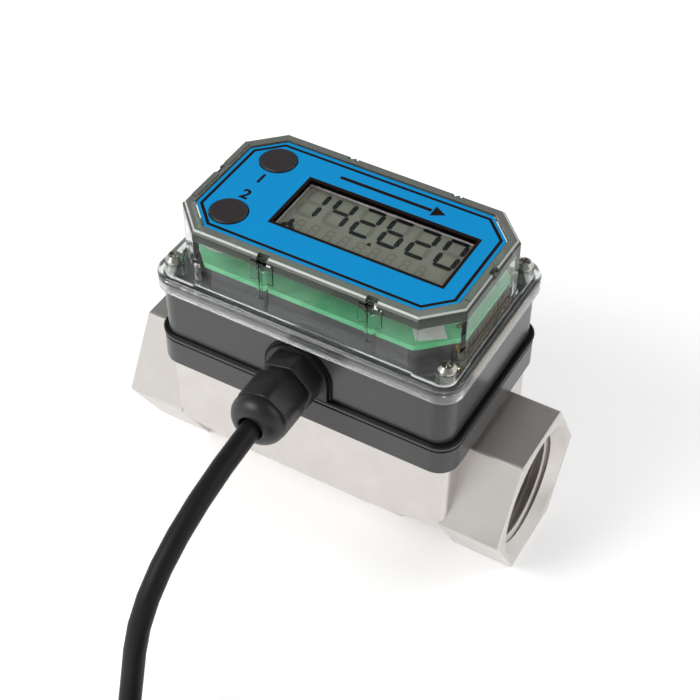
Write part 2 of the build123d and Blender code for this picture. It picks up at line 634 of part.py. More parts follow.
# Arch seal: the rubber strip between the gland plate and the housing's slot
with BuildPart() as arch_seal:
    seal_reach = ARCH_BACK_Y - HOUSING_FACE_Y + SEAM_BULGE * 2
    add(extrude(arch(ARCH_RADIUS + ARCH_SEAL, HOUSING_Z), amount=seal_reach, mode=Mode.PRIVATE))
    add(extrude(arch(ARCH_RADIUS, HOUSING_Z), amount=seal_reach, mode=Mode.PRIVATE), mode=Mode.SUBTRACT)
arch_seal.part.label = "arch_seal"
export_step(arch_seal.part, "parts/arch_seal.step")

# Gland body: thread through the plate, hexagon against it and a neck for the nut
with BuildPart() as gland_body:
    gland_neck_y = GLAND_FACE_Y - GLAND_HEX_LENGTH
    with BuildSketch(cable_plane(GLAND_FACE_Y)):
        RegularPolygon(GLAND_HEX / 2, 6, major_radius=False, rotation=GLAND_HEX_TURN)
    extrude(amount=GLAND_HEX_LENGTH)
    chamfer(gland_body.faces().sort_by(Axis.Y)[0].edges(), GLAND_HEX_EDGE)
    with BuildSketch(cable_plane(gland_neck_y)):
        Circle(GLAND_NECK_RADIUS)
    extrude(amount=GLAND_NECK_LENGTH)
    with BuildSketch(cable_plane(GLAND_FACE_Y + GLAND_TAIL)):
        Circle(GLAND_THREAD_RADIUS)
    extrude(amount=GLAND_TAIL)
    with BuildSketch(cable_plane(GLAND_FACE_Y + GLAND_TAIL)):
        Circle(GLAND_BORE)
    extrude(amount=GLAND_TAIL + GLAND_HEX_LENGTH, mode=Mode.SUBTRACT)
    insert_y = gland_neck_y - GLAND_NECK_LENGTH + INSERT_LENGTH
    with BuildSketch(cable_plane(insert_y)):
        Circle(INSERT_RADIUS + SEAT_CLEARANCE)
    extrude(amount=INSERT_LENGTH, mode=Mode.SUBTRACT)
    with BuildSketch(cable_plane(gland_neck_y)):
        Circle(GLAND_BORE)
    extrude(amount=gland_neck_y - insert_y, mode=Mode.SUBTRACT)
gland_body.part.label = "gland_body"
export_step(gland_body.part, "parts/gland_body.step")

# Gland insert: the rubber bush that grips the cable
with BuildPart() as insert:
    with BuildSketch(cable_plane(insert_y)):
        Circle(INSERT_RADIUS)
        Circle(CABLE_RADIUS + CABLE_FIT, mode=Mode.SUBTRACT)
    extrude(amount=INSERT_LENGTH)
insert.part.label = "gland_insert"
export_step(insert.part, "parts/gland_insert.step")

# Gland nut: shoulder, hexagon and rounded dome over the neck, with a mouth for the cable
with BuildPart() as nut:
    nut_y = gland_neck_y - NUT_GAP
    nut_hex_y = nut_y - NUT_SHOULDER
    nut_dome_y = nut_hex_y - NUT_HEX_LENGTH
    nut_end_y = nut_dome_y - NUT_DOME_LENGTH
    nut_hex_corner = NUT_HEX / math.sqrt(3)
    with BuildSketch(cable_plane(nut_y)):
        RegularPolygon(NUT_HEX / 2, 6, major_radius=False, rotation=NUT_HEX_TURN)
    extrude(amount=NUT_SHOULDER + NUT_HEX_LENGTH)
    with BuildSketch(Plane.YZ):
        with BuildLine():
            Polyline((nut_y, GLAND_Z + NUT_DOME_RADIUS), (nut_hex_y, GLAND_Z + nut_hex_corner),
                     (nut_hex_y, GLAND_Z + 2 * nut_hex_corner), (nut_y, GLAND_Z + 2 * nut_hex_corner),
                     close=True)
        make_face()
    gland_axis = Axis((0, 0, GLAND_Z), (0, 1, 0))
    revolve(axis=gland_axis, mode=Mode.SUBTRACT)
    with BuildSketch(Plane.YZ):
        with BuildLine():
            dome_edge = (nut_dome_y, GLAND_Z + NUT_DOME_RADIUS)
            dome_end = (nut_end_y, GLAND_Z + NUT_MOUTH_RADIUS + NUT_CHAMFER)
            Polyline(dome_end, (nut_end_y, GLAND_Z), (nut_dome_y, GLAND_Z), dome_edge)
            RadiusArc(dome_edge, dome_end, -NUT_DOME_ROUND)
        make_face()
    revolve(axis=gland_axis)
    with BuildSketch(cable_plane(nut_y)):
        Circle(GLAND_NECK_RADIUS + NUT_THREAD_PLAY)
    extrude(amount=nut_y - gland_neck_y + GLAND_NECK_LENGTH + NUT_CHAMFER, mode=Mode.SUBTRACT)
    with BuildSketch(cable_plane(nut_y)):
        Circle(NUT_MOUTH_RADIUS)
    extrude(amount=nut_y - nut_end_y, mode=Mode.SUBTRACT)
nut.part.label = "gland_nut"
export_step(nut.part, "parts/gland_nut.step")

# Locknut inside the housing, against the back of the gland plate
with BuildPart() as locknut:
    with BuildSketch(cable_plane(ARCH_BACK_Y + LOCKNUT_THICKNESS)):
        RegularPolygon(GLAND_HEX / 2, 6, major_radius=False, rotation=GLAND_HEX_TURN)
        Circle(GLAND_THREAD_RADIUS + SEAT_CLEARANCE, mode=Mode.SUBTRACT)
    extrude(amount=LOCKNUT_THICKNESS)
locknut.part.label = "gland_locknut"
export_step(locknut.part, "parts/gland_locknut.step")

# Cover seal: the soft ring on the housing's rim
with BuildPart() as cover_seal:
    with BuildSketch(Plane.XY.offset(HOUSING_TOP)):
        RectangleRounded(HOUSING_LENGTH - 2 * SEAL_INSET, HOUSING_DEPTH - 2 * SEAL_INSET,
                         HOUSING_CORNER - SEAL_INSET)
        RectangleRounded(HOUSING_LENGTH - 2 * SEAL_INSET - 2 * SEAL_WIDTH,
                         HOUSING_DEPTH - 2 * SEAL_INSET - 2 * SEAL_WIDTH,
                         HOUSING_CORNER - SEAL_INSET - SEAL_WIDTH, mode=Mode.SUBTRACT)
    extrude(amount=COVER_SEAL_THICKNESS)
cover_seal.part.label = "cover_seal"
export_step(cover_seal.part, "parts/cover_seal.step")

# Clear cover: eight-sided window box on a flange, with pockets, columns and clip posts
with BuildPart() as cover:
    with BuildSketch(Plane.XY.offset(HOUSING_TOP - SKIRT_HEIGHT + COVER_SEAL_THICKNESS)):
        RectangleRounded(FLANGE_LENGTH, FLANGE_DEPTH, FLANGE_CORNER)
    extrude(amount=FLANGE_THICKNESS + SKIRT_HEIGHT)
    fillet(cover.faces().sort_by(Axis.Z)[-1].edges(), WINDOW_BEVEL)
    with BuildSketch(Plane.XY.offset(HOUSING_TOP - SKIRT_HEIGHT + COVER_SEAL_THICKNESS)):
        RectangleRounded(HOUSING_LENGTH + 2 * SKIRT_CLEARANCE, HOUSING_DEPTH + 2 * SKIRT_CLEARANCE,
                         HOUSING_CORNER + SKIRT_CLEARANCE)
    extrude(amount=SKIRT_HEIGHT, mode=Mode.SUBTRACT)
    with BuildSketch(Plane.XY.offset(FLANGE_TOP - GROOVE_DEPTH)):
        Polygon(*octagon(WINDOW_LENGTH + 2 * (GROOVE_OFFSET + GROOVE_WIDTH),
                         WINDOW_DEPTH + 2 * (GROOVE_OFFSET + GROOVE_WIDTH), WINDOW_CORNER_CUT), align=None)
        Polygon(*octagon(WINDOW_LENGTH + 2 * GROOVE_OFFSET, WINDOW_DEPTH + 2 * GROOVE_OFFSET,
                         WINDOW_CORNER_CUT), align=None, mode=Mode.SUBTRACT)
    extrude(amount=GROOVE_DEPTH, mode=Mode.SUBTRACT)
    with BuildSketch(Plane.XY.offset(FLANGE_TOP - POCKET_DEPTH)):
        RectangleRounded(FLANGE_LENGTH - 2 * POCKET_EDGE, FLANGE_DEPTH - 2 * POCKET_EDGE,
                         FLANGE_CORNER - POCKET_EDGE)
        Polygon(*octagon(FLANGE_LENGTH - POCKET_EDGE, FLANGE_DEPTH - POCKET_EDGE,
                         WINDOW_CORNER_CUT + POCKET_EDGE * 2), align=None, mode=Mode.SUBTRACT)
    extrude(amount=POCKET_DEPTH, mode=Mode.SUBTRACT)
    with BuildSketch(Plane.XY.offset(FLANGE_TOP)):
        Polygon(*octagon(WINDOW_LENGTH, WINDOW_DEPTH, WINDOW_CORNER_CUT), align=None)
    extrude(amount=WINDOW_HEIGHT)
    chamfer(cover.faces().sort_by(Axis.Z)[-1].edges(), WINDOW_BEVEL)
    with BuildSketch(Plane.XY.offset(FLANGE_TOP - POCKET_DEPTH)):
        with Locations(*SCREW_PLACES):
            Circle(COLUMN_RADIUS)
    extrude(amount=POCKET_DEPTH + COLUMN_RISE)
    clip_top = COVER_TOP - CLIP_NOTCH
    with BuildSketch(Plane.XY.offset(FLANGE_Z)):
        for side in (-1, 1):
            for x in CLIP_PLACES:
                with Locations((x, side * (WINDOW_DEPTH / 2 - CLIP_POST_INSET))):
                    Circle(CLIP_POST_RADIUS)
    extrude(amount=clip_top - FLANGE_Z)
    with BuildSketch(Plane.XY.offset(clip_top - CLIP_WING_HEIGHT)):
        for side in (-1, 1):
            for x in CLIP_PLACES:
                with Locations((x, side * (WINDOW_DEPTH / 2 + CLIP_WING_PROUD / 2 - WINDOW_WALL / 2))):
                    Rectangle(CLIP_WING_WIDTH, WINDOW_WALL + CLIP_WING_PROUD)
    extrude(amount=CLIP_WING_HEIGHT)
    with BuildSketch(Plane.XY.offset(FLANGE_Z)):
        Polygon(*octagon(WINDOW_LENGTH - 2 * WINDOW_WALL, WINDOW_DEPTH - 2 * WINDOW_WALL,
                         WINDOW_CORNER_CUT - WINDOW_WALL / 2), align=None)
    extrude(amount=CEILING_Z - FLANGE_Z, mode=Mode.SUBTRACT)
    with BuildSketch(Plane.XY.offset(LABEL_FLOOR)):
        Polygon(*octagon(LABEL_LENGTH + 2 * LABEL_PLAY, LABEL_DEPTH + 2 * LABEL_PLAY, LABEL_CORNER_CUT),
                align=None)
    extrude(amount=COVER_TOP - LABEL_FLOOR, mode=Mode.SUBTRACT)
    with BuildSketch(Plane.XY.offset(CEILING_Z)):
        with Locations((BUTTON_X, BUTTON_Y), (BUTTON_X, -BUTTON_Y)):
            Circle(WELL_RADIUS)
    extrude(amount=LABEL_FLOOR - CEILING_Z, mode=Mode.SUBTRACT)
    with BuildSketch(Plane.XY.offset(COVER_TOP)):
        for side in (-1, 1):
            for x in CLIP_PLACES:
                with Locations((x, side * (WINDOW_DEPTH / 2 - CLIP_NOTCH / 2))):
                    Rectangle(CLIP_WIDTH, CLIP_NOTCH)
            with Locations((side * (WINDOW_LENGTH / 2 - CLIP_NOTCH / 2), SIDE_CLIP_PLACE)):
                Rectangle(CLIP_NOTCH, CLIP_WIDTH)
    extrude(amount=-CLIP_NOTCH, mode=Mode.SUBTRACT)
    with BuildSketch(Plane.XY.offset(FLANGE_TOP + CLIP_SLOT_RISE)):
        for side in (-1, 1):
            for x in CLIP_PLACES:
                with Locations((x, side * (WINDOW_DEPTH / 2 - CLIP_POST_INSET + CLIP_POST_RADIUS))):
                    Rectangle(CLIP_SLOT_WIDTH, 2 * CLIP_SLOT_DEPTH)
    extrude(amount=clip_top - FLANGE_TOP - CLIP_SLOT_RISE, mode=Mode.SUBTRACT)
    with BuildSketch(Plane.XY.offset(COVER_TOP)):
        bar_x = WINDOW_LENGTH / 2 - WINDOW_BEVEL - RIM_BAR_WIDTH / 2
        bar_y = (CLIP_WIDTH + RIM_BAR_LENGTH) / 2 + RIM_BAR_GAP
        for side in (-1, 1):
            with Locations((side * bar_x, SIDE_CLIP_PLACE - bar_y), (side * bar_x, SIDE_CLIP_PLACE + bar_y)):
                Rectangle(RIM_BAR_WIDTH, RIM_BAR_LENGTH)
    extrude(amount=RIM_BAR_HEIGHT)
    with BuildSketch(Plane.XY.offset(FLANGE_Z)):
        with Locations(*SCREW_PLACES):
            Circle(SCREW_RADIUS + SCREW_PASS)
    extrude(amount=COLUMN_TOP - FLANGE_Z, mode=Mode.SUBTRACT)
cover.part.label = "clear_cover"
export_step(cover.part, "parts/clear_cover.step")

# Face label with the view opening and two button holes
with BuildPart() as label:
    with BuildSketch(Plane.XY.offset(LABEL_FLOOR)):
        Polygon(*octagon(LABEL_LENGTH, LABEL_DEPTH, LABEL_CORNER_CUT), align=None)
        with Locations((VIEW_CENTRE_X, 0)):
            Rectangle(VIEW_LENGTH, VIEW_DEPTH, mode=Mode.SUBTRACT)
        with Locations((BUTTON_X, BUTTON_Y), (BUTTON_X, -BUTTON_Y)):
            Circle(WELL_RADIUS, mode=Mode.SUBTRACT)
    extrude(amount=LABEL_THICKNESS)
label.part.label = "face_label"
export_step(label.part, "parts/face_label.step")


def press_button(y):
    """Domed cap with a retaining rim below the cover and a stem down towards its switch."""
    rim_top = CEILING_Z - BUTTON_RIM_GAP
    with BuildPart() as button:
        with BuildSketch(Plane.XY.offset(rim_top - BUTTON_RIM_THICKNESS)):
            with Locations((BUTTON_X, y)):
                Circle(WELL_RADIUS + BUTTON_RIM)
        extrude(amount=BUTTON_RIM_THICKNESS)
        with BuildSketch(Plane.XY.offset(rim_top)):
            with Locations((BUTTON_X, y)):
                Circle(BUTTON_RADIUS)
        extrude(amount=LABEL_Z + BUTTON_PROUD - rim_top)
        chamfer(button.faces().sort_by(Axis.Z)[-1].edges(), BUTTON_DOME)
        with BuildSketch(Plane.XY.offset(rim_top - BUTTON_RIM_THICKNESS)):
            with Locations((BUTTON_X, y)):
                Circle(BUTTON_STEM_RADIUS)
        extrude(amount=-BUTTON_STEM)
    return button.part


STEM_END = CEILING_Z - BUTTON_RIM_GAP - BUTTON_RIM_THICKNESS - BUTTON_STEM
for place, y in (("upper", BUTTON_Y), ("lower", -BUTTON_Y)):
    press_part = press_button(y)
    press_part.label = f"{place}_button"
    export_step(press_part, f"parts/{place}_button.step")
    with BuildPart() as switch:
        with BuildSketch(Plane.XY.offset(BOARD_TOP)):
            with Locations((BUTTON_X, y)):
                Rectangle(SWITCH_SIZE, SWITCH_SIZE)
        extrude(amount=SWITCH_HEIGHT)
        with BuildSketch(Plane.XY.offset(BOARD_TOP + SWITCH_HEIGHT)):
            with Locations((BUTTON_X, y)):
                Circle(SWITCH_PLUNGER_RADIUS)
        extrude(amount=STEM_END - BUTTON_TRAVEL - BUTTON_RIM_GAP - BOARD_TOP - SWITCH_HEIGHT)
    switch.part.label = f"{place}_switch"
    export_step(switch.part, f"parts/{place}_switch.step")

# Button guide: two rings joined by a bar, on four posts that stand on the circuit board
GUIDE_Z = STEM_END + BUTTON_TRAVEL + BUTTON_RIM_GAP
with BuildPart() as guide:
    with BuildSketch(Plane.XY.offset(GUIDE_Z)):
        with Locations((BUTTON_X, BUTTON_Y), (BUTTON_X, -BUTTON_Y)):
            Circle(GUIDE_RADIUS)
        with Locations((BUTTON_X, 0)):
            Rectangle(GUIDE_RADIUS, 2 * BUTTON_Y)
        Polygon(*octagon(BOARD_LENGTH, BOARD_DEPTH, BOARD_CORNER_CUT), align=None, mode=Mode.INTERSECT)
        with Locations((BUTTON_X, BUTTON_Y), (BUTTON_X, -BUTTON_Y)):
            Circle(BUTTON_STEM_RADIUS + BUTTON_PLAY, mode=Mode.SUBTRACT)
    extrude(amount=GUIDE_THICKNESS)
    with BuildSketch(Plane.XY.offset(BOARD_TOP)):
        for side in (-1, 1):
            with Locations((BUTTON_X + GUIDE_POST_REACH, side * BUTTON_Y),
                           (BUTTON_X, side * (BUTTON_Y - GUIDE_POST_REACH))):
                Circle(GUIDE_POST_RADIUS)
    extrude(amount=GUIDE_Z - BOARD_TOP)
guide.part.label = "button_guide"
export_step(guide.part, "parts/button_guide.step")

# Display frame under the view opening
with BuildPart() as bezel:
    with BuildSketch(Plane.XY.offset(CEILING_Z - BEZEL_HEIGHT)):
        with Locations((VIEW_CENTRE_X, 0)):
            Rectangle(VIEW_LENGTH + 2 * BEZEL_MARGIN, VIEW_DEPTH + 2 * BEZEL_MARGIN)
            Rectangle(VIEW_LENGTH, VIEW_DEPTH, mode=Mode.SUBTRACT)
    extrude(amount=BEZEL_HEIGHT)
bezel.part.label = "display_frame"
export_step(bezel.part, "parts/display_frame.step")

# Liquid-crystal glass below the frame
LCD_Z = CEILING_Z - BEZEL_HEIGHT - LCD_THICKNESS
with BuildPart() as lcd:
    with BuildSketch(Plane.XY.offset(LCD_Z)):
        with Locations((VIEW_CENTRE_X, 0)):
            Rectangle(VIEW_LENGTH + 2 * LCD_MARGIN, VIEW_DEPTH + 2 * LCD_MARGIN)
    extrude(amount=LCD_THICKNESS)
lcd.part.label = "lcd_glass"
export_step(lcd.part, "parts/lcd_glass.step")

# Contact strips that carry the glass on the board
for place, side in (("front", -1), ("back", 1)):
    with BuildPart() as strip:
        with BuildSketch(Plane.XY.offset(BOARD_TOP)):
            with Locations((VIEW_CENTRE_X, side * (VIEW_DEPTH / 2 + LCD_MARGIN - STRIP_WIDTH / 2))):
                Rectangle(VIEW_LENGTH, STRIP_WIDTH)
        extrude(amount=LCD_Z - BOARD_TOP)
    strip.part.label = f"{place}_contact_strip"
    export_step(strip.part, f"parts/{place}_contact_strip.step")

# Circuit board
with BuildPart() as board:
    with BuildSketch(Plane.XY.offset(BOARD_Z)):
        Polygon(*octagon(BOARD_LENGTH, BOARD_DEPTH, BOARD_CORNER_CUT), align=None)
    extrude(amount=BOARD_THICKNESS)
board.part.label = "circuit_board"
export_step(board.part, "parts/circuit_board.step")

# Carrier: deep tray under the board that holds the cells, notched round the gland's locknut
with BuildPart() as carrier:
    with BuildSketch(Plane.XY.offset(CARRIER_Z)):
        Polygon(*octagon(CARRIER_LENGTH, CARRIER_DEPTH, CARRIER_CORNER_CUT), align=None)
    extrude(amount=BOARD_Z - CARRIER_Z)
    with BuildSketch(Plane.XY.offset(CARRIER_Z + CARRIER_WALL)):
        Polygon(*octagon(CARRIER_LENGTH - 2 * CARRIER_WALL, CARRIER_DEPTH - 2 * CARRIER_WALL,
                         CARRIER_CORNER_CUT - CARRIER_WALL / 2), align=None)
    extrude(amount=BOARD_Z - CARRIER_Z - CARRIER_WALL, mode=Mode.SUBTRACT)
    notch_top = GLAND_Z + GLAND_HEX / math.sqrt(3) + BUTTON_PLAY
    with BuildSketch(Plane.XY.offset(CARRIER_Z)):
        with Locations((0, -CARRIER_DEPTH / 2 + CARRIER_NOTCH_DEPTH / 2)):
            Rectangle(CARRIER_NOTCH, CARRIER_NOTCH_DEPTH)
    extrude(amount=notch_top - CARRIER_Z, mode=Mode.SUBTRACT)
carrier.part.label = "module_carrier"
export_step(carrier.part, "parts/module_carrier.step")

# Two battery cells, side by side on the carrier's floor, the second near its back wall
for number, cell_y in ((1, CELL_BACK_Y - CELL_PITCH), (2, CELL_BACK_Y)):
    with BuildPart() as cell:
        cell_plane = Plane(origin=(-CELL_LENGTH / 2, cell_y, CARRIER_Z + CARRIER_WALL + CELL_RADIUS),
                           x_dir=(0, 1, 0), z_dir=(1, 0, 0))
        with BuildSketch(cell_plane):
            Circle(CELL_RADIUS)
        extrude(amount=CELL_LENGTH)
        with BuildSketch(cell_plane.offset(CELL_LENGTH)):
            Circle(CELL_NUB_RADIUS)
        extrude(amount=CELL_NUB)
    cell.part.label = f"battery_cell_{number}"
    export_step(cell.part, f"parts/battery_cell_{number}.step")

# Pin bar on the carrier's end wall, with its row of pins up to the board
PIN_X = CARRIER_LENGTH / 2 + PIN_BAR_WIDTH / 2
PIN_FOOT_Z = BOARD_Z - PIN_LENGTH
with BuildPart() as pin_bar:
    with BuildSketch(Plane.XY.offset(PIN_FOOT_Z - PIN_BAR_HEIGHT)):
        with Locations((PIN_X, 0)):
            Rectangle(PIN_BAR_WIDTH, PIN_COUNT * PIN_PITCH)
    extrude(amount=PIN_BAR_HEIGHT)
pin_bar.part.label = "pin_bar"
export_step(pin_bar.part, "parts/pin_bar.step")

with BuildPart() as pins:
    with BuildSketch(Plane.XY.offset(PIN_FOOT_Z)):
        with Locations((PIN_X, 0)):
            with GridLocations(PIN_PITCH, PIN_PITCH, 1, PIN_COUNT):
                Rectangle(PIN_SIZE, PIN_SIZE)
    extrude(amount=PIN_LENGTH)
pins.part.label = "board_pins"
export_step(pins.part, "parts/board_pins.step")

# Pickup coil over the rotor: a bobbin in the body's well and its winding
with BuildPart() as bobbin:
    with BuildSketch(Plane.XY.offset(WELL_FLOOR)):
        Circle(BOBBIN_RADIUS)
    extrude(amount=BOBBIN_FLANGE)
    with BuildSketch(Plane.XY.offset(WELL_FLOOR + BOBBIN_FLANGE)):
        Circle(BOBBIN_CORE)
    extrude(amount=BOBBIN_HEIGHT - 2 * BOBBIN_FLANGE)
    with BuildSketch(Plane.XY.offset(WELL_FLOOR + BOBBIN_HEIGHT - BOBBIN_FLANGE)):
        Circle(BOBBIN_RADIUS)
    extrude(amount=BOBBIN_FLANGE)
bobbin.part.label = "coil_bobbin"
export_step(bobbin.part, "parts/coil_bobbin.step")

with BuildPart() as winding:
    with BuildSketch(Plane.XY.offset(WELL_FLOOR + BOBBIN_FLANGE)):
        Circle(WINDING_RADIUS)
        Circle(BOBBIN_CORE, mode=Mode.SUBTRACT)
    extrude(amount=BOBBIN_HEIGHT - 2 * BOBBIN_FLANGE)
winding.part.label = "coil_winding"
export_step(winding.part, "parts/coil_winding.step")


def bend_radii(points):
    """Radius of each bend of a route: a share of its shorter run over the tangent of half the turn."""
    radii = []
    for before, here, after in zip(points, points[1:], points[2:]):
        run_in, run_out = Vector(*here) - Vector(*before), Vector(*after) - Vector(*here)
        half_turn = math.radians(run_in.get_angle(run_out)) / 2
        radii.append(BEND_SHARE * min(run_in.length, run_out.length) / math.tan(half_turn))
    return radii


def cable_tube(points, name):
    """Tube of the cable's size along a route of straight runs joined by tangent arcs."""
    radii = bend_radii(points)
    with BuildPart() as tube:
        with BuildLine() as path:
            FilletPolyline(*points, radius=radii)
        first = Vector(*points[1]) - Vector(*points[0])
        with BuildSketch(Plane(origin=points[0], z_dir=first)):
            Circle(CABLE_RADIUS)
        sweep()
    wanted = math.pi * CABLE_RADIUS ** 2 * path.wire().length
    print(name, "radii", [round(radius, 1) for radius in radii], "length", round(path.wire().length, 1),
          "volume over section times length", round(tube.part.volume / wanted, 4))
    return tube.part


cable = cable_tube(CABLE_ROUTE, "cable")
cable.label = "cable"
export_step(cable, "parts/cable.step")
cable_tail = cable_tube(TAIL_ROUTE, "cable_tail")
cable_tail.label = "cable_tail"
export_step(cable_tail, "parts/cable_tail.step")

# Put-away coil: the closed outer shape of its turns, flat on the floor
with BuildPart() as cable_coil:
    coil_half_width = COIL_COLUMNS * CABLE_RADIUS
    with BuildSketch(Plane.XY):
        with Locations(COIL_CENTRE):
            Circle(COIL_MEAN_RADIUS + coil_half_width)
            Circle(COIL_MEAN_RADIUS - coil_half_width, mode=Mode.SUBTRACT)
    extrude(amount=2 * CABLE_RADIUS * COIL_LAYERS)
    chamfer(cable_coil.edges().filter_by(GeomType.CIRCLE), COIL_EDGE)
cable_coil.part.label = "cable_coil"
export_step(cable_coil.part, "parts/cable_coil.step")

# Bare end: insulated leads side by side, each with its stripped tip
with BuildPart() as leads:
    tail_end = TAIL_ROUTE[-1]
    lead_plane = Plane(origin=tail_end, x_dir=(1, 0, 0), z_dir=(0, 1, 0))
    with BuildSketch(lead_plane):
        with GridLocations(LEAD_PITCH, LEAD_PITCH, LEAD_COUNT, 1):
            Circle(LEAD_RADIUS)
    extrude(amount=LEAD_LENGTH)
    with BuildSketch(lead_plane.offset(LEAD_LENGTH)):
        with GridLocations(LEAD_PITCH, LEAD_PITCH, LEAD_COUNT, 1):
            Circle(BARE_RADIUS)
    extrude(amount=BARE_LENGTH)
leads.part.label = "cable_leads"
export_step(leads.part, "parts/cable_leads.step")
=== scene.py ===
"""Looks of an in-line turbine flow meter: finishes, prints, threads, board trim, cable and studio."""

from __future__ import annotations

import logging
import math
from collections.abc import Iterable
from dataclasses import dataclass, replace
from enum import Enum
from functools import cache
from typing import ClassVar

import bpy
from mathutils import Matrix, Vector

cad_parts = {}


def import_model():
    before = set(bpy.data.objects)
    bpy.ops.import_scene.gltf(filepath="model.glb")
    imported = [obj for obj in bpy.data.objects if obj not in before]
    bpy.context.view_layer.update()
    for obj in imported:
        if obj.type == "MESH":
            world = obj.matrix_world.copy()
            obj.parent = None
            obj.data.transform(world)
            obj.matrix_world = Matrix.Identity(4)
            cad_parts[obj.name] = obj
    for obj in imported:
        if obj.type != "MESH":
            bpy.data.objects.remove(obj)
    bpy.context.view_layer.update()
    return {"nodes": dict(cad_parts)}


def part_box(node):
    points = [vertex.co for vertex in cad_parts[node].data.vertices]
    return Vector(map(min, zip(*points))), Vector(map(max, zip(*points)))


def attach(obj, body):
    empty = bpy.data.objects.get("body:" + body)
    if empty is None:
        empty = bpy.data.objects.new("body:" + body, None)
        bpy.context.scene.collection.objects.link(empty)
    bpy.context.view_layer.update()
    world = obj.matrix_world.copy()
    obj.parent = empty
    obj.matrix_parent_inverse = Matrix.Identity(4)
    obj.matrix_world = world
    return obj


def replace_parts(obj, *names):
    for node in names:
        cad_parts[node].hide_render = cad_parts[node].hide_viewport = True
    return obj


MM = 0.001
LOG = logging.getLogger("flow_meter")
Material = bpy.types.Material
Piece = bpy.types.Object
Nodes = dict[str, Piece]
Tree = bpy.types.NodeTree
Socket = bpy.types.NodeSocket
Recipe = tuple[dict, dict]
Triple = tuple[float, float, float]


# Shaders


def linear(code: str) -> tuple[float, ...]:
    """Turn an sRGB hex code into the linear colour that shaders use.

    Args:
        code: Colour as "#RRGGBB".

    Returns:
        Red, green, blue and an alpha of one.
    """
    channels = [int(code[start:start + 2], 16) / 255 for start in (1, 3, 5)]
    return (*[c / 12.92 if c <= 0.04045 else ((c + 0.055) / 1.055) ** 2.4 for c in channels], 1.0)


def add_node(tree: Tree, kind: str, settings: dict, links: dict | None = None) -> bpy.types.Node:
    """Add one shader node with its settings and links.

    Args:
        tree: Node tree that gets the node.
        kind: Blender's name for the type of node.
        settings: Values by input name, input number or property name; properties come first.
        links: Output sockets that feed the inputs, by input name or number.

    Returns:
        The new node.
    """
    node = tree.nodes.new(kind)
    for name, value in settings.items():
        if isinstance(name, int) or name in node.inputs:
            node.inputs[name].default_value = value
        else:
            setattr(node, name, value)
    for name, socket in (links or {}).items():
        tree.links.new(socket, node.inputs[name])
    return node


def blank_tree(owner: Material | bpy.types.World) -> Tree:
    """Return the emptied node tree of a material or a world."""
    owner.use_nodes = True
    owner.node_tree.nodes.clear()
    return owner.node_tree


@dataclass(frozen=True)
class Finish:
    """A surface finish, named for its real material."""

    name: str
    colour: str
    shade: str
    roughness: float
    grain_mm: float
    relief_mm: float = 0.01

    def build(self) -> Material:
        """Return the material."""
        material = bpy.data.materials.new(self.name)
        tree = blank_tree(material)
        place = add_node(tree, "ShaderNodeTexCoord", {}).outputs["Object"]
        shader = add_node(tree, "ShaderNodeBsdfPrincipled", *self.recipe(tree, place))
        add_node(tree, "ShaderNodeOutputMaterial", {}, {"Surface": shader.outputs[0]})
        return material

    def recipe(self, tree: Tree, place: Socket) -> Recipe:
        """Return the shader's settings and links."""
        raise NotImplementedError

    def noise(self, tree: Tree, place: Socket, size_mm: float) -> Socket:
        """Return a noise pattern whose blots are about size_mm across."""
        settings = {"Scale": 1 / (size_mm * MM), "Detail": 3.0, "Roughness": 0.55}
        return add_node(tree, "ShaderNodeTexNoise", settings, {"Vector": place}).outputs["Fac"]

    def blend(self, tree: Tree, share: Socket) -> Socket:
        """Return the finish's two colours mixed by a pattern."""
        settings = {"data_type": "RGBA", 6: linear(self.colour), 7: linear(self.shade)}
        return add_node(tree, "ShaderNodeMix", settings, {0: share}).outputs[2]

    def spread(self, tree: Tree, share: Socket, width: float = 0.1) -> Socket:
        """Return a roughness that varies by width about the finish's own with a pattern."""
        settings = {"To Min": self.roughness - width / 2, "To Max": self.roughness + width / 2}
        return add_node(tree, "ShaderNodeMapRange", settings, {"Value": share}).outputs[0]

    def relief(self, tree: Tree, height: Socket) -> Socket:
        """Return a normal that is roughened by a pattern."""
        settings = {"Strength": 0.5, "Distance": self.relief_mm * MM}
        return add_node(tree, "ShaderNodeBump", settings, {"Height": height}).outputs[0]


@dataclass(frozen=True)
class BlastedSteel(Finish):
    """Bead-blasted stainless steel: a pale warm metal with blurred reflections and a fine pitted grain."""

    cloud_grains: ClassVar[int] = 30

    def recipe(self, tree: Tree, place: Socket) -> Recipe:
        """Return the shader's settings and links."""
        grain = self.noise(tree, place, self.grain_mm)
        cloud = self.noise(tree, place, self.grain_mm * self.cloud_grains)
        return {"Metallic": 1.0}, {
            "Base Color": self.blend(tree, cloud), "Roughness": self.spread(tree, grain),
            "Normal": self.relief(tree, grain)}


@dataclass(frozen=True)
class TurnedMetal(Finish):
    """Metal turned on a lathe about the pipe's axis: fine rings that catch the light along a thin line."""

    wave_rate: ClassVar[int] = 6
    patch_mm: ClassVar[float] = 4.0

    def recipe(self, tree: Tree, place: Socket) -> Recipe:
        """Return the shader's settings and links."""
        rings = add_node(tree, "ShaderNodeTexWave", {
            "bands_direction": "X", "Scale": 1 / (self.grain_mm * MM) / self.wave_rate, "Distortion": 1.5,
            "Detail": 2.0}, {"Vector": place}).outputs["Fac"]
        return {"Metallic": 1.0}, {
            "Base Color": self.blend(tree, self.noise(tree, place, self.patch_mm)),
            "Roughness": self.spread(tree, rings, 0.12), "Normal": self.relief(tree, rings)}


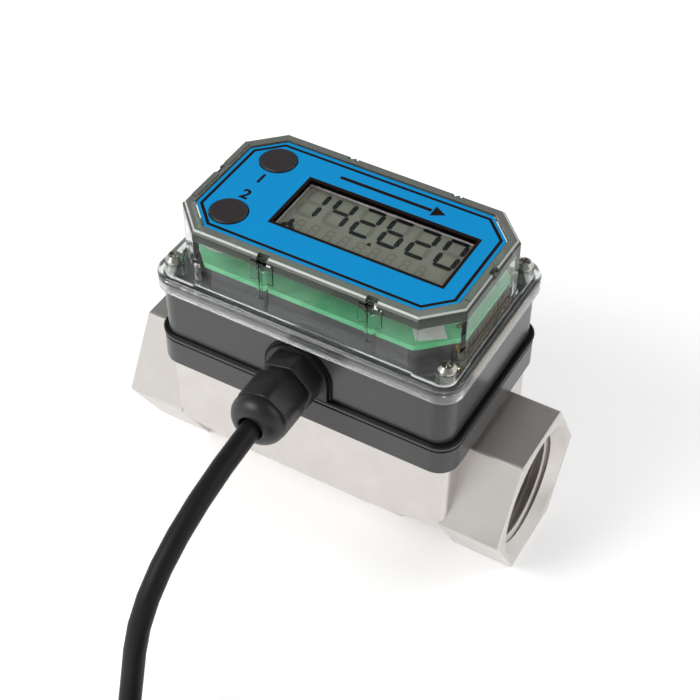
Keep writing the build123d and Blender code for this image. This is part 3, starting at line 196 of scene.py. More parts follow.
@dataclass(frozen=True)
class MouldedPlastic(Finish):
    """Moulded plastic or rubber: a spark-eroded tool leaves a fine even grain, with faint flow clouds."""

    gloss: float = 0.5
    cloud_mm: ClassVar[float] = 14.0

    def recipe(self, tree: Tree, place: Socket) -> Recipe:
        """Return the shader's settings and links."""
        grain = self.noise(tree, place, self.grain_mm)
        cloud = self.noise(tree, place, self.cloud_mm)
        return {"IOR": 1.52, "Specular IOR Level": self.gloss}, {
            "Base Color": self.blend(tree, cloud), "Roughness": self.spread(tree, cloud),
            "Normal": self.relief(tree, grain)}


@dataclass(frozen=True)
class ClearPolycarbonate(Finish):
    """Clear polycarbonate: polished walls that bend the light, a band of painted shade near the top and a
    duller flange.

    The shade is the colour painted on above rim_z: grey-green painted shade on the top rim, dark painted
    shade on the walls under it and a painted highlight on the bevel's top. rim_share is how much light that
    band lets through, clear_share how much the thin walls let through.
    The flange is a thicker moulding over a dark shell, so it lets less through and blurs what it mirrors.
    The walls, the bevel and the window plate bend less than the real 1.585, for their far sides would
    mirror the surround at full strength and hide what lies behind them. Heights and places are in metres.
    """

    clear_share: float = 1.0
    # rim_z and rim_height place the band with painted shade, and on the bevel a painted highlight
    rim_share: float = 0.5
    rim_z: float = 91.0 * MM
    rim_height: float = 0.4 * MM
    flange_z: float = 76.2 * MM
    flange_share: float = 0.95
    flange_roughness: float = 0.18
    bend: float = 1.585

    def recipe(self, tree: Tree, place: Socket) -> Recipe:
        """Return the shader's settings and links."""
        ripple = self.noise(tree, place, self.grain_mm)
        height = add_node(tree, "ShaderNodeSeparateXYZ", {}, {0: place}).outputs[2]
        above = []
        for start in (self.rim_z, self.flange_z):
            above.append(add_node(tree, "ShaderNodeMapRange", {
                "interpolation_type": "SMOOTHSTEP", "From Min": start, "From Max": start + self.rim_height},
                {"Value": height}).outputs[0])
        # The first mask rises above rim_z, where the shade colour is painted on as shade, and on the bevel
        # as a highlight
        painted_band, wall = above
        levels = []
        for low, high, socket in ((self.clear_share, self.rim_share, painted_band), (self.flange_share, 1.0, wall),
                                  (self.flange_roughness, self.roughness, wall)):
            levels.append(add_node(tree, "ShaderNodeMapRange", {"To Min": low, "To Max": high},
                                   {"Value": socket}).outputs[0])
        clear, dull, blur = levels
        share = add_node(tree, "ShaderNodeMath", {"operation": "MULTIPLY"}, {0: clear, 1: dull})
        return {"IOR": self.bend}, {
            "Base Color": self.blend(tree, painted_band), "Transmission Weight": share.outputs[0],
            "Roughness": blur, "Normal": self.relief(tree, ripple)}


@dataclass(frozen=True)
class PrintedFilm(Finish):
    """Printed polyester film: a flat strong colour under a satin face with a faint orange-peel."""

    cloud_mm: ClassVar[float] = 9.0

    def recipe(self, tree: Tree, place: Socket) -> Recipe:
        """Return the shader's settings and links."""
        peel = self.noise(tree, place, self.grain_mm)
        return {"IOR": 1.45, "Specular IOR Level": 0.12}, {
            "Base Color": self.blend(tree, self.noise(tree, place, self.cloud_mm)),
            "Roughness": self.spread(tree, peel, 0.08), "Normal": self.relief(tree, peel)}


@dataclass(frozen=True)
class LiquidCrystal(Finish):
    """Liquid-crystal glass: a grey-olive reflector behind polished glass, with a faint fibre texture."""

    stretch: ClassVar[Triple] = (0.35, 1.0, 1.0)

    def recipe(self, tree: Tree, place: Socket) -> Recipe:
        """Return the shader's settings and links."""
        along = add_node(tree, "ShaderNodeMapping", {"Scale": self.stretch}, {"Vector": place})
        fibre = self.noise(tree, along.outputs[0], self.grain_mm)
        return {"IOR": 1.5, "Specular IOR Level": 0.12}, {
            "Base Color": self.blend(tree, fibre), "Roughness": self.spread(tree, fibre)}


@dataclass(frozen=True)
class SolderMask(Finish):
    """Green solder mask over copper: bright clouds where the copper lies under a glossy lacquer."""

    edge: ClassVar[tuple[float, float]] = (0.47, 0.53)
    lacquer_mm: ClassVar[float] = 1.5

    def recipe(self, tree: Tree, place: Socket) -> Recipe:
        """Return the shader's settings and links."""
        copper = self.noise(tree, place, self.grain_mm)
        track = add_node(tree, "ShaderNodeMapRange", {"From Min": self.edge[0], "From Max": self.edge[1]},
                         {"Value": copper}).outputs[0]
        return {"IOR": 1.5, "Coat Weight": 0.3, "Coat Roughness": 0.12}, {
            "Base Color": self.blend(tree, track), "Normal": self.relief(tree, track),
            "Roughness": self.spread(tree, self.noise(tree, place, self.lacquer_mm))}


@dataclass(frozen=True)
class StrippedLeads(Finish):
    """PVC lead insulation in a colour for each lead, with bare tinned copper past the stripping line."""

    strip_y: float = -51.5 * MM
    centre_x: float = 102.5 * MM
    pitch: float = 1.7 * MM
    third: str = "#D8D4CC"
    copper: str = "#C9A27E"

    def recipe(self, tree: Tree, place: Socket) -> Recipe:
        """Return the shader's settings and links."""
        axes = add_node(tree, "ShaderNodeSeparateXYZ", {}, {0: place}).outputs
        past = []
        for axis, edge in ((0, self.centre_x - self.pitch / 2), (0, self.centre_x + self.pitch / 2),
                           (1, self.strip_y)):
            step = add_node(tree, "ShaderNodeMath", {"operation": "GREATER_THAN", 1: edge}, {0: axes[axis]})
            past.append(step.outputs[0])
        tint = self.blend(tree, past[0])
        for share, code in ((past[1], self.third), (past[2], self.copper)):
            tint = add_node(tree, "ShaderNodeMix", {"data_type": "RGBA", 7: linear(code)},
                            {0: share, 6: tint}).outputs[2]
        twist = self.noise(tree, place, self.grain_mm)
        return {"IOR": 1.5}, {
            "Base Color": tint, "Metallic": past[2], "Roughness": self.spread(tree, twist),
            "Normal": self.relief(tree, twist)}


# Finishes: name, colour, shade, roughness, grain and relief in mm, and a plastic's gloss

BODY_STEEL = BlastedSteel("bead_blasted_stainless_steel", "#E2DEDA", "#D2CDC8", 0.38, 0.25)
SUPPORT_STEEL = TurnedMetal("turned_stainless_steel", "#B4B1AC", "#9A9691", 0.3, 0.3)
SPRING_STEEL = TurnedMetal("spring_steel", "#7A7A7C", "#5E5E60", 0.35, 0.2)
ROTOR_STEEL = TurnedMetal("polished_stainless_steel", "#C9C8C6", "#B5B4B2", 0.22, 0.4)
SCREW_STEEL = BlastedSteel("zinc_plated_steel", "#D6D5CF", "#A9A79F", 0.27, 0.15)
BEARING_CERAMIC = MouldedPlastic("ground_alumina", "#EDEBE4", "#E2DFD6", 0.3, 0.1, 0.005)
HOUSING_PLASTIC = MouldedPlastic("moulded_grey_abs", "#3E3E3F", "#444445", 0.26, 0.18, 0.004)
BLACK_RUBBER = MouldedPlastic("moulded_nitrile_rubber", "#0C0C0C", "#121212", 0.45, 0.12, 0.01, 0.15)
BUTTON_RUBBER = MouldedPlastic("moulded_silicone_rubber", "#2A2426", "#302A2C", 0.5, 0.1, 0.02, 0.35)
GUIDE_PLASTIC = MouldedPlastic("moulded_grey_acetal", "#A9AAA6", "#9C9D99", 0.5, 0.2, 0.01)
FRAME_PLASTIC = MouldedPlastic("moulded_taupe_abs", "#B4AAAD", "#BCB2B5", 0.45, 0.2, 0.01)
CONTACT_RUBBER = MouldedPlastic("zebra_strip_silicone", "#8C8680", "#5D5955", 0.6, 0.12, 0.02)
CARRIER_PLASTIC = MouldedPlastic("moulded_charcoal_abs", "#666466", "#6E6C6E", 0.4, 0.2, 0.015)
CELL_WRAP = MouldedPlastic("shrink_wrap_pvc", "#5C6470", "#525964", 0.3, 0.6, 0.02)
GLAND_NYLON = MouldedPlastic("moulded_black_nylon", "#171717", "#1C1C1D", 0.42, 0.15, 0.01)
SHEATH_PVC = MouldedPlastic("extruded_black_pvc", "#111112", "#161617", 0.5, 0.3, 0.01, 0.25)
WINDING_COPPER = TurnedMetal("enamelled_copper_wire", "#B5643C", "#8E4526", 0.3, 0.15, 0.05)
PIN_GOLD = BlastedSteel("gold_plated_bronze", "#E8C98C", "#D9B471", 0.25, 0.2)
# The cover's shade is a grey-green painted shade on its top rim above 91 mm
CLEAR_COVER = ClearPolycarbonate("clear_polycarbonate", "#F4F7F5", "#8E928A", 0.02, 9.0, 0.001)
# Window box walls: a dark painted shade band from 88.3 mm up, for the shade and dark reflections under the
# rim
PAINTED_SHADE_WALL = replace(
    CLEAR_COVER, name="clear_polycarbonate_wall_painted_shade", shade="#5A5E59", relief_mm=0.004, rim_share=0.4,
    rim_z=88.3 * MM, rim_height=0.3 * MM, flange_roughness=0.12, bend=1.22)
# Bevel: dark painted shade below 91.3 mm and a pale painted highlight along its top edge
PAINTED_HIGHLIGHT_BEVEL = replace(
    CLEAR_COVER, name="clear_polycarbonate_bevel_painted_highlight", colour="#565A55", shade="#D2D5D0", clear_share=0.4,
    rim_share=0.2, rim_z=91.3 * MM, rim_height=0.15 * MM, flange_share=1.0, flange_roughness=0.02, bend=1.3)
CLEAR_WINDOW = replace(
    CLEAR_COVER, name="clear_polycarbonate_window", colour="#F8FAF8", roughness=0.01, relief_mm=0.002,
    flange_share=1.0, flange_roughness=0.01, bend=1.12)
LABEL_FILM = PrintedFilm("printed_polyester_film", "#0893D4", "#058ECE", 0.46, 0.6, 0.004)
BLACK_INK = PrintedFilm("screen_printed_ink", "#1A100D", "#221511", 0.5, 0.4, 0.004)
DISPLAY_GLASS = LiquidCrystal("liquid_crystal_glass", "#6D6E64", "#74756A", 0.35, 0.5)
LIT_SEGMENT = PrintedFilm("energised_liquid_crystal", "#0D0F13", "#111317", 0.4, 0.4, 0.002)
DIM_SEGMENT = PrintedFilm("idle_liquid_crystal", "#62635A", "#66675E", 0.4, 0.4, 0.002)
BOARD_LACQUER = SolderMask("green_solder_mask", "#78D69D", "#84DFA8", 0.4, 5.0, 0.02)
STICKER_PAPER = PrintedFilm("matt_sticker_paper", "#F2F2EE", "#E9E9E4", 0.65, 0.5, 0.006)
CHIP_EPOXY = MouldedPlastic("moulded_chip_epoxy", "#26272A", "#2E2F32", 0.5, 0.15, 0.01)
LEAD_PVC = StrippedLeads("lead_insulation_pvc", "#A5231C", "#222223", 0.4, 0.5, 0.01)


# Shapes


@cache
def material_of(finish: Finish) -> Material:
    """Return the material of a finish, which is built once."""
    return finish.build()


def dress(piece: Piece, finish: Finish) -> None:
    """Give a piece one finish, in place of what it has."""
    piece.data.materials.clear()
    piece.data.materials.append(material_of(finish))


def dress_nodes(nodes: Nodes, table: Iterable[tuple[Finish, tuple[str, ...]]]) -> None:
    """Give each named node the finish that stands before its name."""
    for finish, names in table:
        for name in names:
            dress(nodes[name], finish)


def deselect() -> None:
    """Leave edit mode and deselect every object."""
    if bpy.context.mode != "OBJECT":
        bpy.ops.object.mode_set(mode="OBJECT")
    bpy.ops.object.select_all(action="DESELECT")


def focus(*pieces: Piece) -> None:
    """Select just these pieces, with the first of them active."""
    deselect()
    for piece in pieces:
        piece.select_set(True)
    bpy.context.view_layer.objects.active = pieces[0]


def edit(piece: Piece, mode: str = "FACE") -> None:
    """Enter edit mode on one piece with all of it selected.

    Args:
        piece: Mesh to edit.
        mode: "VERT", "EDGE" or "FACE".
    """
    focus(piece)
    bpy.ops.object.mode_set(mode="EDIT")
    bpy.ops.mesh.select_mode(type=mode)
    bpy.ops.mesh.select_all(action="SELECT")


def close_edit(piece: Piece, smooth_degrees: float = 0.0) -> None:
    """Make the normals point outwards, leave edit mode and set the shading."""
    if bpy.context.mode != "EDIT_MESH":
        edit(piece)
    bpy.ops.mesh.select_all(action="SELECT")
    bpy.ops.mesh.normals_make_consistent(inside=False)
    bpy.ops.object.mode_set(mode="OBJECT")
    if smooth_degrees:
        bpy.ops.object.shade_smooth_by_angle(angle=math.radians(smooth_degrees))
    deselect()


def settle() -> Piece:
    """Put the new active object's place, turn and scale in its mesh and return it."""
    bpy.ops.object.transform_apply(location=True, rotation=True, scale=True)
    return bpy.context.object


def new_plate(name: str, x: float, y: float, z: float, length: float, depth: float) -> Piece:
    """Add a flat rectangle with its place in its mesh.

    Args:
        name: Name of the piece.
        x: Centre along X, in mm.
        y: Centre along Y, in mm.
        z: Height, in mm.
        length: Size along X, in mm.
        depth: Size along Y, in mm.

    Returns:
        The new mesh object.
    """
    deselect()
    bpy.ops.mesh.primitive_plane_add(size=1, location=(x * MM, y * MM, z * MM))
    piece = bpy.context.object
    piece.name = name
    piece.scale = (length * MM, depth * MM, 1)
    return settle()


def new_disc(sides: int, radius: float, x: float, y: float, z: float, turn: float = 0.0,
             stretch: float = 1.0) -> Piece:
    """Add a flat regular polygon with its place in its mesh.

    Args:
        sides: How many sides it has.
        radius: Radius of its corners, in mm.
        x: Centre along X, in mm.
        y: Centre along Y, in mm.
        z: Height, in mm.
        turn: Turn about Z, in radians.
        stretch: How much longer it is along its own X.

    Returns:
        The new mesh object.
    """
    deselect()
    bpy.ops.mesh.primitive_circle_add(vertices=sides, radius=radius * MM, fill_type="NGON",
                                      location=(x * MM, y * MM, z * MM), rotation=(0, 0, turn))
    bpy.context.object.scale = (stretch, 1, 1)
    return settle()


def raise_plate(piece: Piece, height: float) -> None:
    """Extrude all of a flat piece upwards by a height in mm and close it."""
    edit(piece)
    bpy.ops.mesh.extrude_region_move(TRANSFORM_OT_translate={"value": (0, 0, height * MM)})
    close_edit(piece)


def cut_corners(piece: Piece, cut: float) -> None:
    """Cut the corners of a flat rectangle straight across, cut mm along each side."""
    edit(piece, "VERT")
    bpy.ops.mesh.bevel(offset=cut * MM, affect="VERTICES", segments=1)
    deselect()


def hollow_out(piece: Piece, width: float) -> None:
    """Turn a flat outline into a line of that width in mm along its rim."""
    edit(piece)
    bpy.ops.mesh.inset(thickness=width * MM, use_even_offset=True)
    bpy.ops.mesh.delete(type="FACE")
    deselect()


def join(pieces: list[Piece], name: str) -> Piece:
    """Join pieces to one with that name."""
    focus(*pieces)
    bpy.ops.object.join()
    pieces[0].name = name
    deselect()
    return pieces[0]


def add_object(name: str, data: bpy.types.ID) -> Piece:
    """Add an object with that name and data to the scene."""
    made = bpy.data.objects.new(name, data)
    bpy.context.scene.collection.objects.link(made)
    return made


def place_piece(piece: Piece, finish: Finish) -> Piece:
    """Dress a finished piece, let it ride on the meter and return it."""
    dress(piece, finish)
    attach(piece, "meter")
    LOG.info("%s in %s rides on meter", piece.name, finish.name)
    return piece


# Studio


@dataclass
class Studio:
    """Camera at the photograph's place, soft lamps, a pale floor and a plain bright surround."""

    camera_mm: Triple = (148.6, -259.9, 342.5)
    azimuth: float = 29.694
    elevation: float = 44.786
    roll: float = 0.379
    lens_mm: float = 78.83
    sensor_mm: float = 36.0
    floor_mm: float = 4000.0
    floor_lift: float = 0.28
    speckle_mm: float = 2.5
    sky_level: float = 0.52
    ceiling_level: float = 0.22
    horizon: tuple[float, float] = (-0.05, 0.6)
    lamps: tuple = (("key_softbox", (-420.0, -520.0, 640.0), 420.0, 4.0),
                    ("rim_softbox", (560.0, 260.0, 520.0), 380.0, 1.1))

    def build(self) -> None:
        """Build the whole studio."""
        self.build_camera()
        self.build_world()
        self.build_floor()
        for name, place, size, power in self.lamps:
            self.build_lamp(name, place, size, power)

    def build_camera(self) -> None:
        """Add the camera with the photograph's lens, place and turn."""
        data = bpy.data.cameras.new("camera")
        data.lens = self.lens_mm
        data.sensor_width = self.sensor_mm
        data.clip_start = 10 * MM
        camera = add_object("camera", data)
        turn = Matrix.Rotation(math.radians(self.azimuth), 4, "Z")
        turn = turn @ Matrix.Rotation(math.radians(90 - self.elevation), 4, "X")
        turn = turn @ Matrix.Rotation(math.radians(self.roll), 4, "Z")
        camera.matrix_world = Matrix.Translation(Vector(self.camera_mm) * MM) @ turn
        bpy.context.scene.camera = camera

    def build_world(self) -> None:
        """White surround for what is seen directly, and a darker ceiling in reflections."""
        world = bpy.data.worlds.new("studio")
        bpy.context.scene.world = world
        tree = blank_tree(world)
        place = add_node(tree, "ShaderNodeTexCoord", {}).outputs["Generated"]
        height = add_node(tree, "ShaderNodeSeparateXYZ", {}, {0: place}).outputs[2]
        ceiling = add_node(tree, "ShaderNodeMapRange", {
            "interpolation_type": "SMOOTHSTEP", "From Min": self.horizon[0], "From Max": self.horizon[1],
            "To Min": 1.0, "To Max": self.ceiling_level}, {"Value": height}).outputs[0]
        path = add_node(tree, "ShaderNodeLightPath", {}).outputs
        level = add_node(tree, "ShaderNodeMix", {2: self.sky_level}, {0: path["Is Glossy Ray"], 3: ceiling})
        seen = add_node(tree, "ShaderNodeMath", {"operation": "MAXIMUM"},
                        {0: path["Is Camera Ray"], 1: path["Is Transmission Ray"]})
        strength = add_node(tree, "ShaderNodeMix", {3: 1.0}, {0: seen.outputs[0], 2: level.outputs[0]})
        sky = add_node(tree, "ShaderNodeBackground", {"Color": linear("#FFFFFF")},
                       {"Strength": strength.outputs[0]})
        add_node(tree, "ShaderNodeOutputWorld", {}, {"Surface": sky.outputs[0]})

    def build_floor(self) -> None:
        """Add the pale floor, a little brighter than its light where it is seen or mirrored."""
        floor = new_plate("floor", 0, 0, -0.05, self.floor_mm, self.floor_mm)
        material = bpy.data.materials.new("painted_white_board")
        tree = blank_tree(material)
        place = add_node(tree, "ShaderNodeTexCoord", {}).outputs["Object"]
        speckle = add_node(tree, "ShaderNodeTexNoise", {"Scale": 1 / (self.speckle_mm * MM), "Detail": 2.0},
                           {"Vector": place})
        tone = add_node(tree, "ShaderNodeMix", {
            "data_type": "RGBA", 6: linear("#F7F7F7"), 7: linear("#FAFAFA")}, {0: speckle.outputs["Fac"]})
        paint = add_node(tree, "ShaderNodeBsdfPrincipled", {"Roughness": 0.9, "Specular IOR Level": 0.1},
                         {"Base Color": tone.outputs[2]})
        path = add_node(tree, "ShaderNodeLightPath", {}).outputs
        seen = path["Is Camera Ray"]
        for ray in (path["Is Glossy Ray"], path["Is Transmission Ray"]):
            seen = add_node(tree, "ShaderNodeMath", {"operation": "MAXIMUM"}, {0: seen, 1: ray}).outputs[0]
        lift = add_node(tree, "ShaderNodeMath", {"operation": "MULTIPLY", 1: self.floor_lift}, {0: seen})
        glow = add_node(tree, "ShaderNodeEmission", {"Color": linear("#FFFFFF")},
                        {"Strength": lift.outputs[0]})
        both = add_node(tree, "ShaderNodeAddShader", {}, {0: paint.outputs[0], 1: glow.outputs[0]})
        add_node(tree, "ShaderNodeOutputMaterial", {}, {"Surface": both.outputs[0]})
        floor.data.materials.append(material)

    def build_lamp(self, name: str, place: Triple, size: float, power: float) -> None:
        """Add a square softbox that points at the meter.

        Args:
            name: Name of the lamp.
            place: Its centre, in mm.
            size: Its side, in mm.
            power: Its power, in watts.
        """
        data = bpy.data.lights.new(name, "AREA")
        data.size = size * MM
        data.energy = power
        lamp = add_object(name, data)
        lamp.location = Vector(place) * MM
        lamp.rotation_euler = (-Vector(place)).to_track_quat("-Z", "Y").to_euler()


# Sub-assemblies


class Layer(Enum):
    """Which way the turns of one layer of the coil are laid."""

    INWARD = 0
    OUTWARD = 1


@dataclass
class SignalCable:
    """Black signal cable: one droop from the gland, a put-away coil and a stripped end. Metres."""

    diameter: float = 0.0057
    length: float = 2.68
    route: tuple = ((0.0, -0.0355, 0.060), (0.0, -0.0945, 0.060), (0.0, -0.111, 0.00285),
                    (0.028, -0.1595, 0.00285))
    tail: tuple = ((0.1025, -0.1395, 0.01995), (0.1025, -0.1235, 0.01995), (0.1025, -0.0955, 0.00285),
                   (0.1025, -0.0735, 0.00285))
    centre: tuple[float, float] = (0.0626, -0.1395)
    mean_radius: float = 0.0342
    columns: int = 3
    layers: int = 4
    start_degrees: float = 210.0
    end_degrees: float = 360.0
    points_per_turn: int = 24
    climb_zone: tuple[float, float] = (0.6, 0.8)
    shift_zone: tuple[float, float] = (0.8, 1.0)

    def turn_place(self, turn: int) -> tuple[float, float]:
        """Return the radius and the height of one whole turn."""
        layer, step = divmod(turn, self.columns)
        column = step if Layer(layer % 2) is Layer.INWARD else self.columns - 1 - step
        outer = self.mean_radius + (self.columns - 1) / 2 * self.diameter
        return outer - column * self.diameter, self.diameter * (layer + 0.5)

    def coil_points(self) -> list[Triple]:
        """Return the control points of the coil's turns, laid beside and on each other."""
        sweep = self.end_degrees - self.start_degrees
        turns = self.columns * self.layers - 1 + sweep / 360
        last = round(turns * self.points_per_turn)
        spread = 1 / math.cos(math.pi / self.points_per_turn)
        points = []
        for index in range(1, last):
            turn, along = divmod(index / self.points_per_turn, 1)
            radius, height = self.turn_place(int(turn))
            if int(turn) + 1 < self.columns * self.layers:
                next_radius, next_height = self.turn_place(int(turn) + 1)
                radius += (next_radius - radius) * self.ease(along, self.shift_zone)
                height += (next_height - height) * self.ease(along, self.climb_zone)
            angle = math.radians(self.start_degrees) + index / self.points_per_turn * 2 * math.pi
            points.append((self.centre[0] + radius * spread * math.cos(angle),
                           self.centre[1] + radius * spread * math.sin(angle), height))
        return points

    @staticmethod
    def ease(along: float, zone: tuple[float, float]) -> float:
        """Return how far a smooth step inside a zone has gone, from 0 to 1."""
        share = min(1.0, max(0.0, (along - zone[0]) / (zone[1] - zone[0])))
        return share * share * (3 - 2 * share)

    def build(self, nodes: Nodes, gland: list[Piece]) -> None:
        """Args:
            nodes: CAD nodes by name.
            gland: The gland's hexagon and nut; not used.
        """
        points = [*self.route, *self.coil_points(), *self.tail]
        data = bpy.data.curves.new("cable_sheath", "CURVE")
        data.dimensions = "3D"
        spline = data.splines.new("NURBS")
        spline.points.add(len(points) - 1)
        for point, place in zip(spline.points, points):
            point.co = (*place, 1.0)
        spline.order_u = 3
        spline.use_endpoint_u = True
        spline.resolution_u = 8
        data.bevel_depth = self.diameter / 2
        data.bevel_resolution = 6
        data.use_fill_caps = True
        sheath = place_piece(add_object("cable_sheath", data), SHEATH_PVC)
        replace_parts(sheath, "cable", "cable_coil", "cable_tail")
        dress(nodes["cable_leads"], LEAD_PVC)
        LOG.info("cord declared on cable_sheath")


@dataclass
class FaceLabel:
    """Blue film label: black lines along its rim and round its window, and plain marks. Millimetres."""

    ink_mm: float = 0.04
    border_inset: tuple[float, float] = (0.92, 1.12)
    border_width: float = 0.85
    corner_cut: float = 6.35
    window_width: float = 0.8
    lining_width: float = 0.08
    window: tuple = (7.2, 0.0, 48.8, 19.5)
    numerals: tuple = (("1", -28.7, 3.3), ("2", -28.7, -4.2))
    numeral_mm: float = 5.2
    numeral_weight: float = 0.14
    arrow: tuple = (-11.0, 20.0, 14.4)
    arrow_width: float = 1.1
    arrow_head: float = 2.4
    arrow_back: float = 4.0

    def build(self, nodes: Nodes) -> None:
        """Dress the film and add its prints."""
        dress(nodes["face_label"], LABEL_FILM)
        low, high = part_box("face_label")
        floor, top = low.z / MM, high.z / MM
        border = [(high[axis] - low[axis]) / MM - 2 * self.border_inset[axis] for axis in (0, 1)]
        self.outline("label_border_print", (0, 0, top), border, self.border_width, self.ink_mm,
                     self.corner_cut)
        x, y, *view = self.window
        rim = [side + 2 * self.window_width for side in view]
        self.outline("window_border_print", (x, y, top), rim, self.window_width, self.ink_mm)
        self.outline("window_edge_print", (x, y, floor), view, self.lining_width, top + self.ink_mm - floor)
        for sign, x, y in self.numerals:
            self.numeral(sign, x, y, top)
        self.flow_arrow(top)

    @staticmethod
    def outline(name: str, place: Triple, size: list[float], width: float, height: float,
                corner: float = 0.0) -> None:
        """Print a line along the inside of a rectangle.

        Args:
            name: Name of the piece.
            place: Centre of the rectangle's underside, in mm.
            size: Sizes of the rectangle along X and Y, in mm.
            width: Width of the line, in mm.
            height: Height of the line, in mm.
            corner: How much of each side its cut corners take, in mm.
        """
        piece = new_plate(name, *place, *size)
        if corner:
            cut_corners(piece, corner)
        hollow_out(piece, width)
        raise_plate(piece, height)
        place_piece(piece, BLACK_INK)

    def numeral(self, sign: str, x: float, y: float, top: float) -> None:
        """Print one plain numeral beside a button."""
        deselect()
        bpy.ops.object.text_add(location=(x * MM, y * MM, top * MM))
        data = bpy.context.object.data
        data.body = sign
        data.size = self.numeral_mm * MM
        data.align_x = data.align_y = "CENTER"
        data.extrude = self.ink_mm * MM
        data.offset = self.numeral_weight * MM
        bpy.ops.object.convert(target="MESH")
        piece = settle()
        piece.name = "button_numeral_" + sign
        place_piece(piece, BLACK_INK)

    def flow_arrow(self, top: float) -> None:
        """Print a plain arrow along the flow above the window."""
        start, end, y = self.arrow
        shaft = new_plate("shaft", (start + end - self.arrow_back) / 2, y, top,
                          end - start - self.arrow_back, self.arrow_width)
        head = new_disc(3, self.arrow_head, end - self.arrow_head, y, top, math.radians(-90))
        for piece in (shaft, head):
            raise_plate(piece, self.ink_mm)
        place_piece(join([shaft, head], "flow_arrow_print"), BLACK_INK)


SEGMENTS = {"0": "abcdef", "1": "bc", "2": "abged", "4": "fgbc", "6": "afgedc", "8": "abcdefg"}


@dataclass
class DisplayModule:
    """Liquid-crystal display: frame, glass, lit digits, idle bars and small idle cells. Millimetres."""

    reading: str = "142620"
    left: float = -16.1
    pitch: float = 8.03
    base_y: float = -1.85
    width: float = 6.2
    height: float = 11.7
    stroke: float = 1.35
    gap: float = 0.85
    bar_cut: float = 0.45
    lift: float = 0.03
    small_left: float = -13.0
    small_pitch: float = 4.4
    small_scale: float = 0.39
    small_y: float = -7.6
    small_count: int = 9
    pointer: tuple[float, float] = (7.4, -3.0)
    pointer_radius: float = 0.95
    rotor_mark: tuple[float, float] = (-14.2, -6.2)
    blade_radius: float = 0.72
    blade_stretch: float = 1.8
    finishes: tuple = ((FRAME_PLASTIC, ("display_frame",)), (DISPLAY_GLASS, ("lcd_glass",)),
                       (CONTACT_RUBBER, ("front_contact_strip", "back_contact_strip")))

    def build(self, nodes: Nodes) -> None:
        """Dress the display's nodes and add its segments."""
        dress_nodes(nodes, self.finishes)
        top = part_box("lcd_glass")[1].z / MM + self.lift
        cells = [(self.left + index * self.pitch, self.base_y, 1.0, SEGMENTS[digit])
                 for index, digit in enumerate(self.reading)]
        cells += [(self.small_left + index * self.small_pitch, self.small_y, self.small_scale, "")
                  for index in range(self.small_count)]
        lit, idle = [], []
        for x, y, scale, shown in cells:
            for letter in SEGMENTS["8"]:
                bar = self.segment(letter, x, y, scale, top)
                (lit if letter in shown else idle).append(bar)
        lit += self.marks(top)
        place_piece(join(lit, "lit_segments"), LIT_SEGMENT)
        place_piece(join(idle, "idle_segments"), DIM_SEGMENT)

    def segment(self, letter: str, x: float, y: float, scale: float, top: float) -> Piece:
        """Model one bar with mitred ends in its place in a digit.

        Args:
            letter: Segment a to g, clockwise from the top, with g in the middle.
            x: Left edge of the digit, in mm.
            y: Foot of the digit, in mm.
            scale: Size of the digit against the large ones.
            top: Height of the bar's underside, in mm.

        Returns:
            The bar.
        """
        w, h, s = self.width * scale, self.height * scale, self.stroke * scale
        half = (h - s) / 2
        upper, lower = h / 2 + half / 2, h / 2 - half / 2
        left, middle, right = s / 2, w / 2, w - s / 2
        centres = {"a": (middle, h - s / 2), "b": (right, upper), "c": (right, lower), "d": (middle, s / 2),
                   "e": (left, lower), "f": (left, upper), "g": (middle, h / 2)}
        cx, cy = centres[letter]
        gap = self.gap * scale
        if letter in "bcef":
            length, depth = s, half - gap
        else:
            length, depth = (w - s if letter == "g" else w - gap), s
        bar = new_plate("segment", x + cx, y + cy, top, length, depth)
        cut_corners(bar, s * self.bar_cut)
        raise_plate(bar, self.lift)
        return bar

    def marks(self, top: float) -> list[Piece]:
        """Model the small triangle below the digits and the three-bladed mark that shows flow."""
        discs = [new_disc(3, self.pointer_radius, *self.pointer, top)]
        x, y = self.rotor_mark
        for degrees in (90, 210, 330):
            turn = math.radians(degrees)
            discs.append(new_disc(16, self.blade_radius, x + math.cos(turn), y + math.sin(turn), top, turn,
                                  self.blade_stretch))
        for disc in discs:
            raise_plate(disc, self.lift)
        return discs


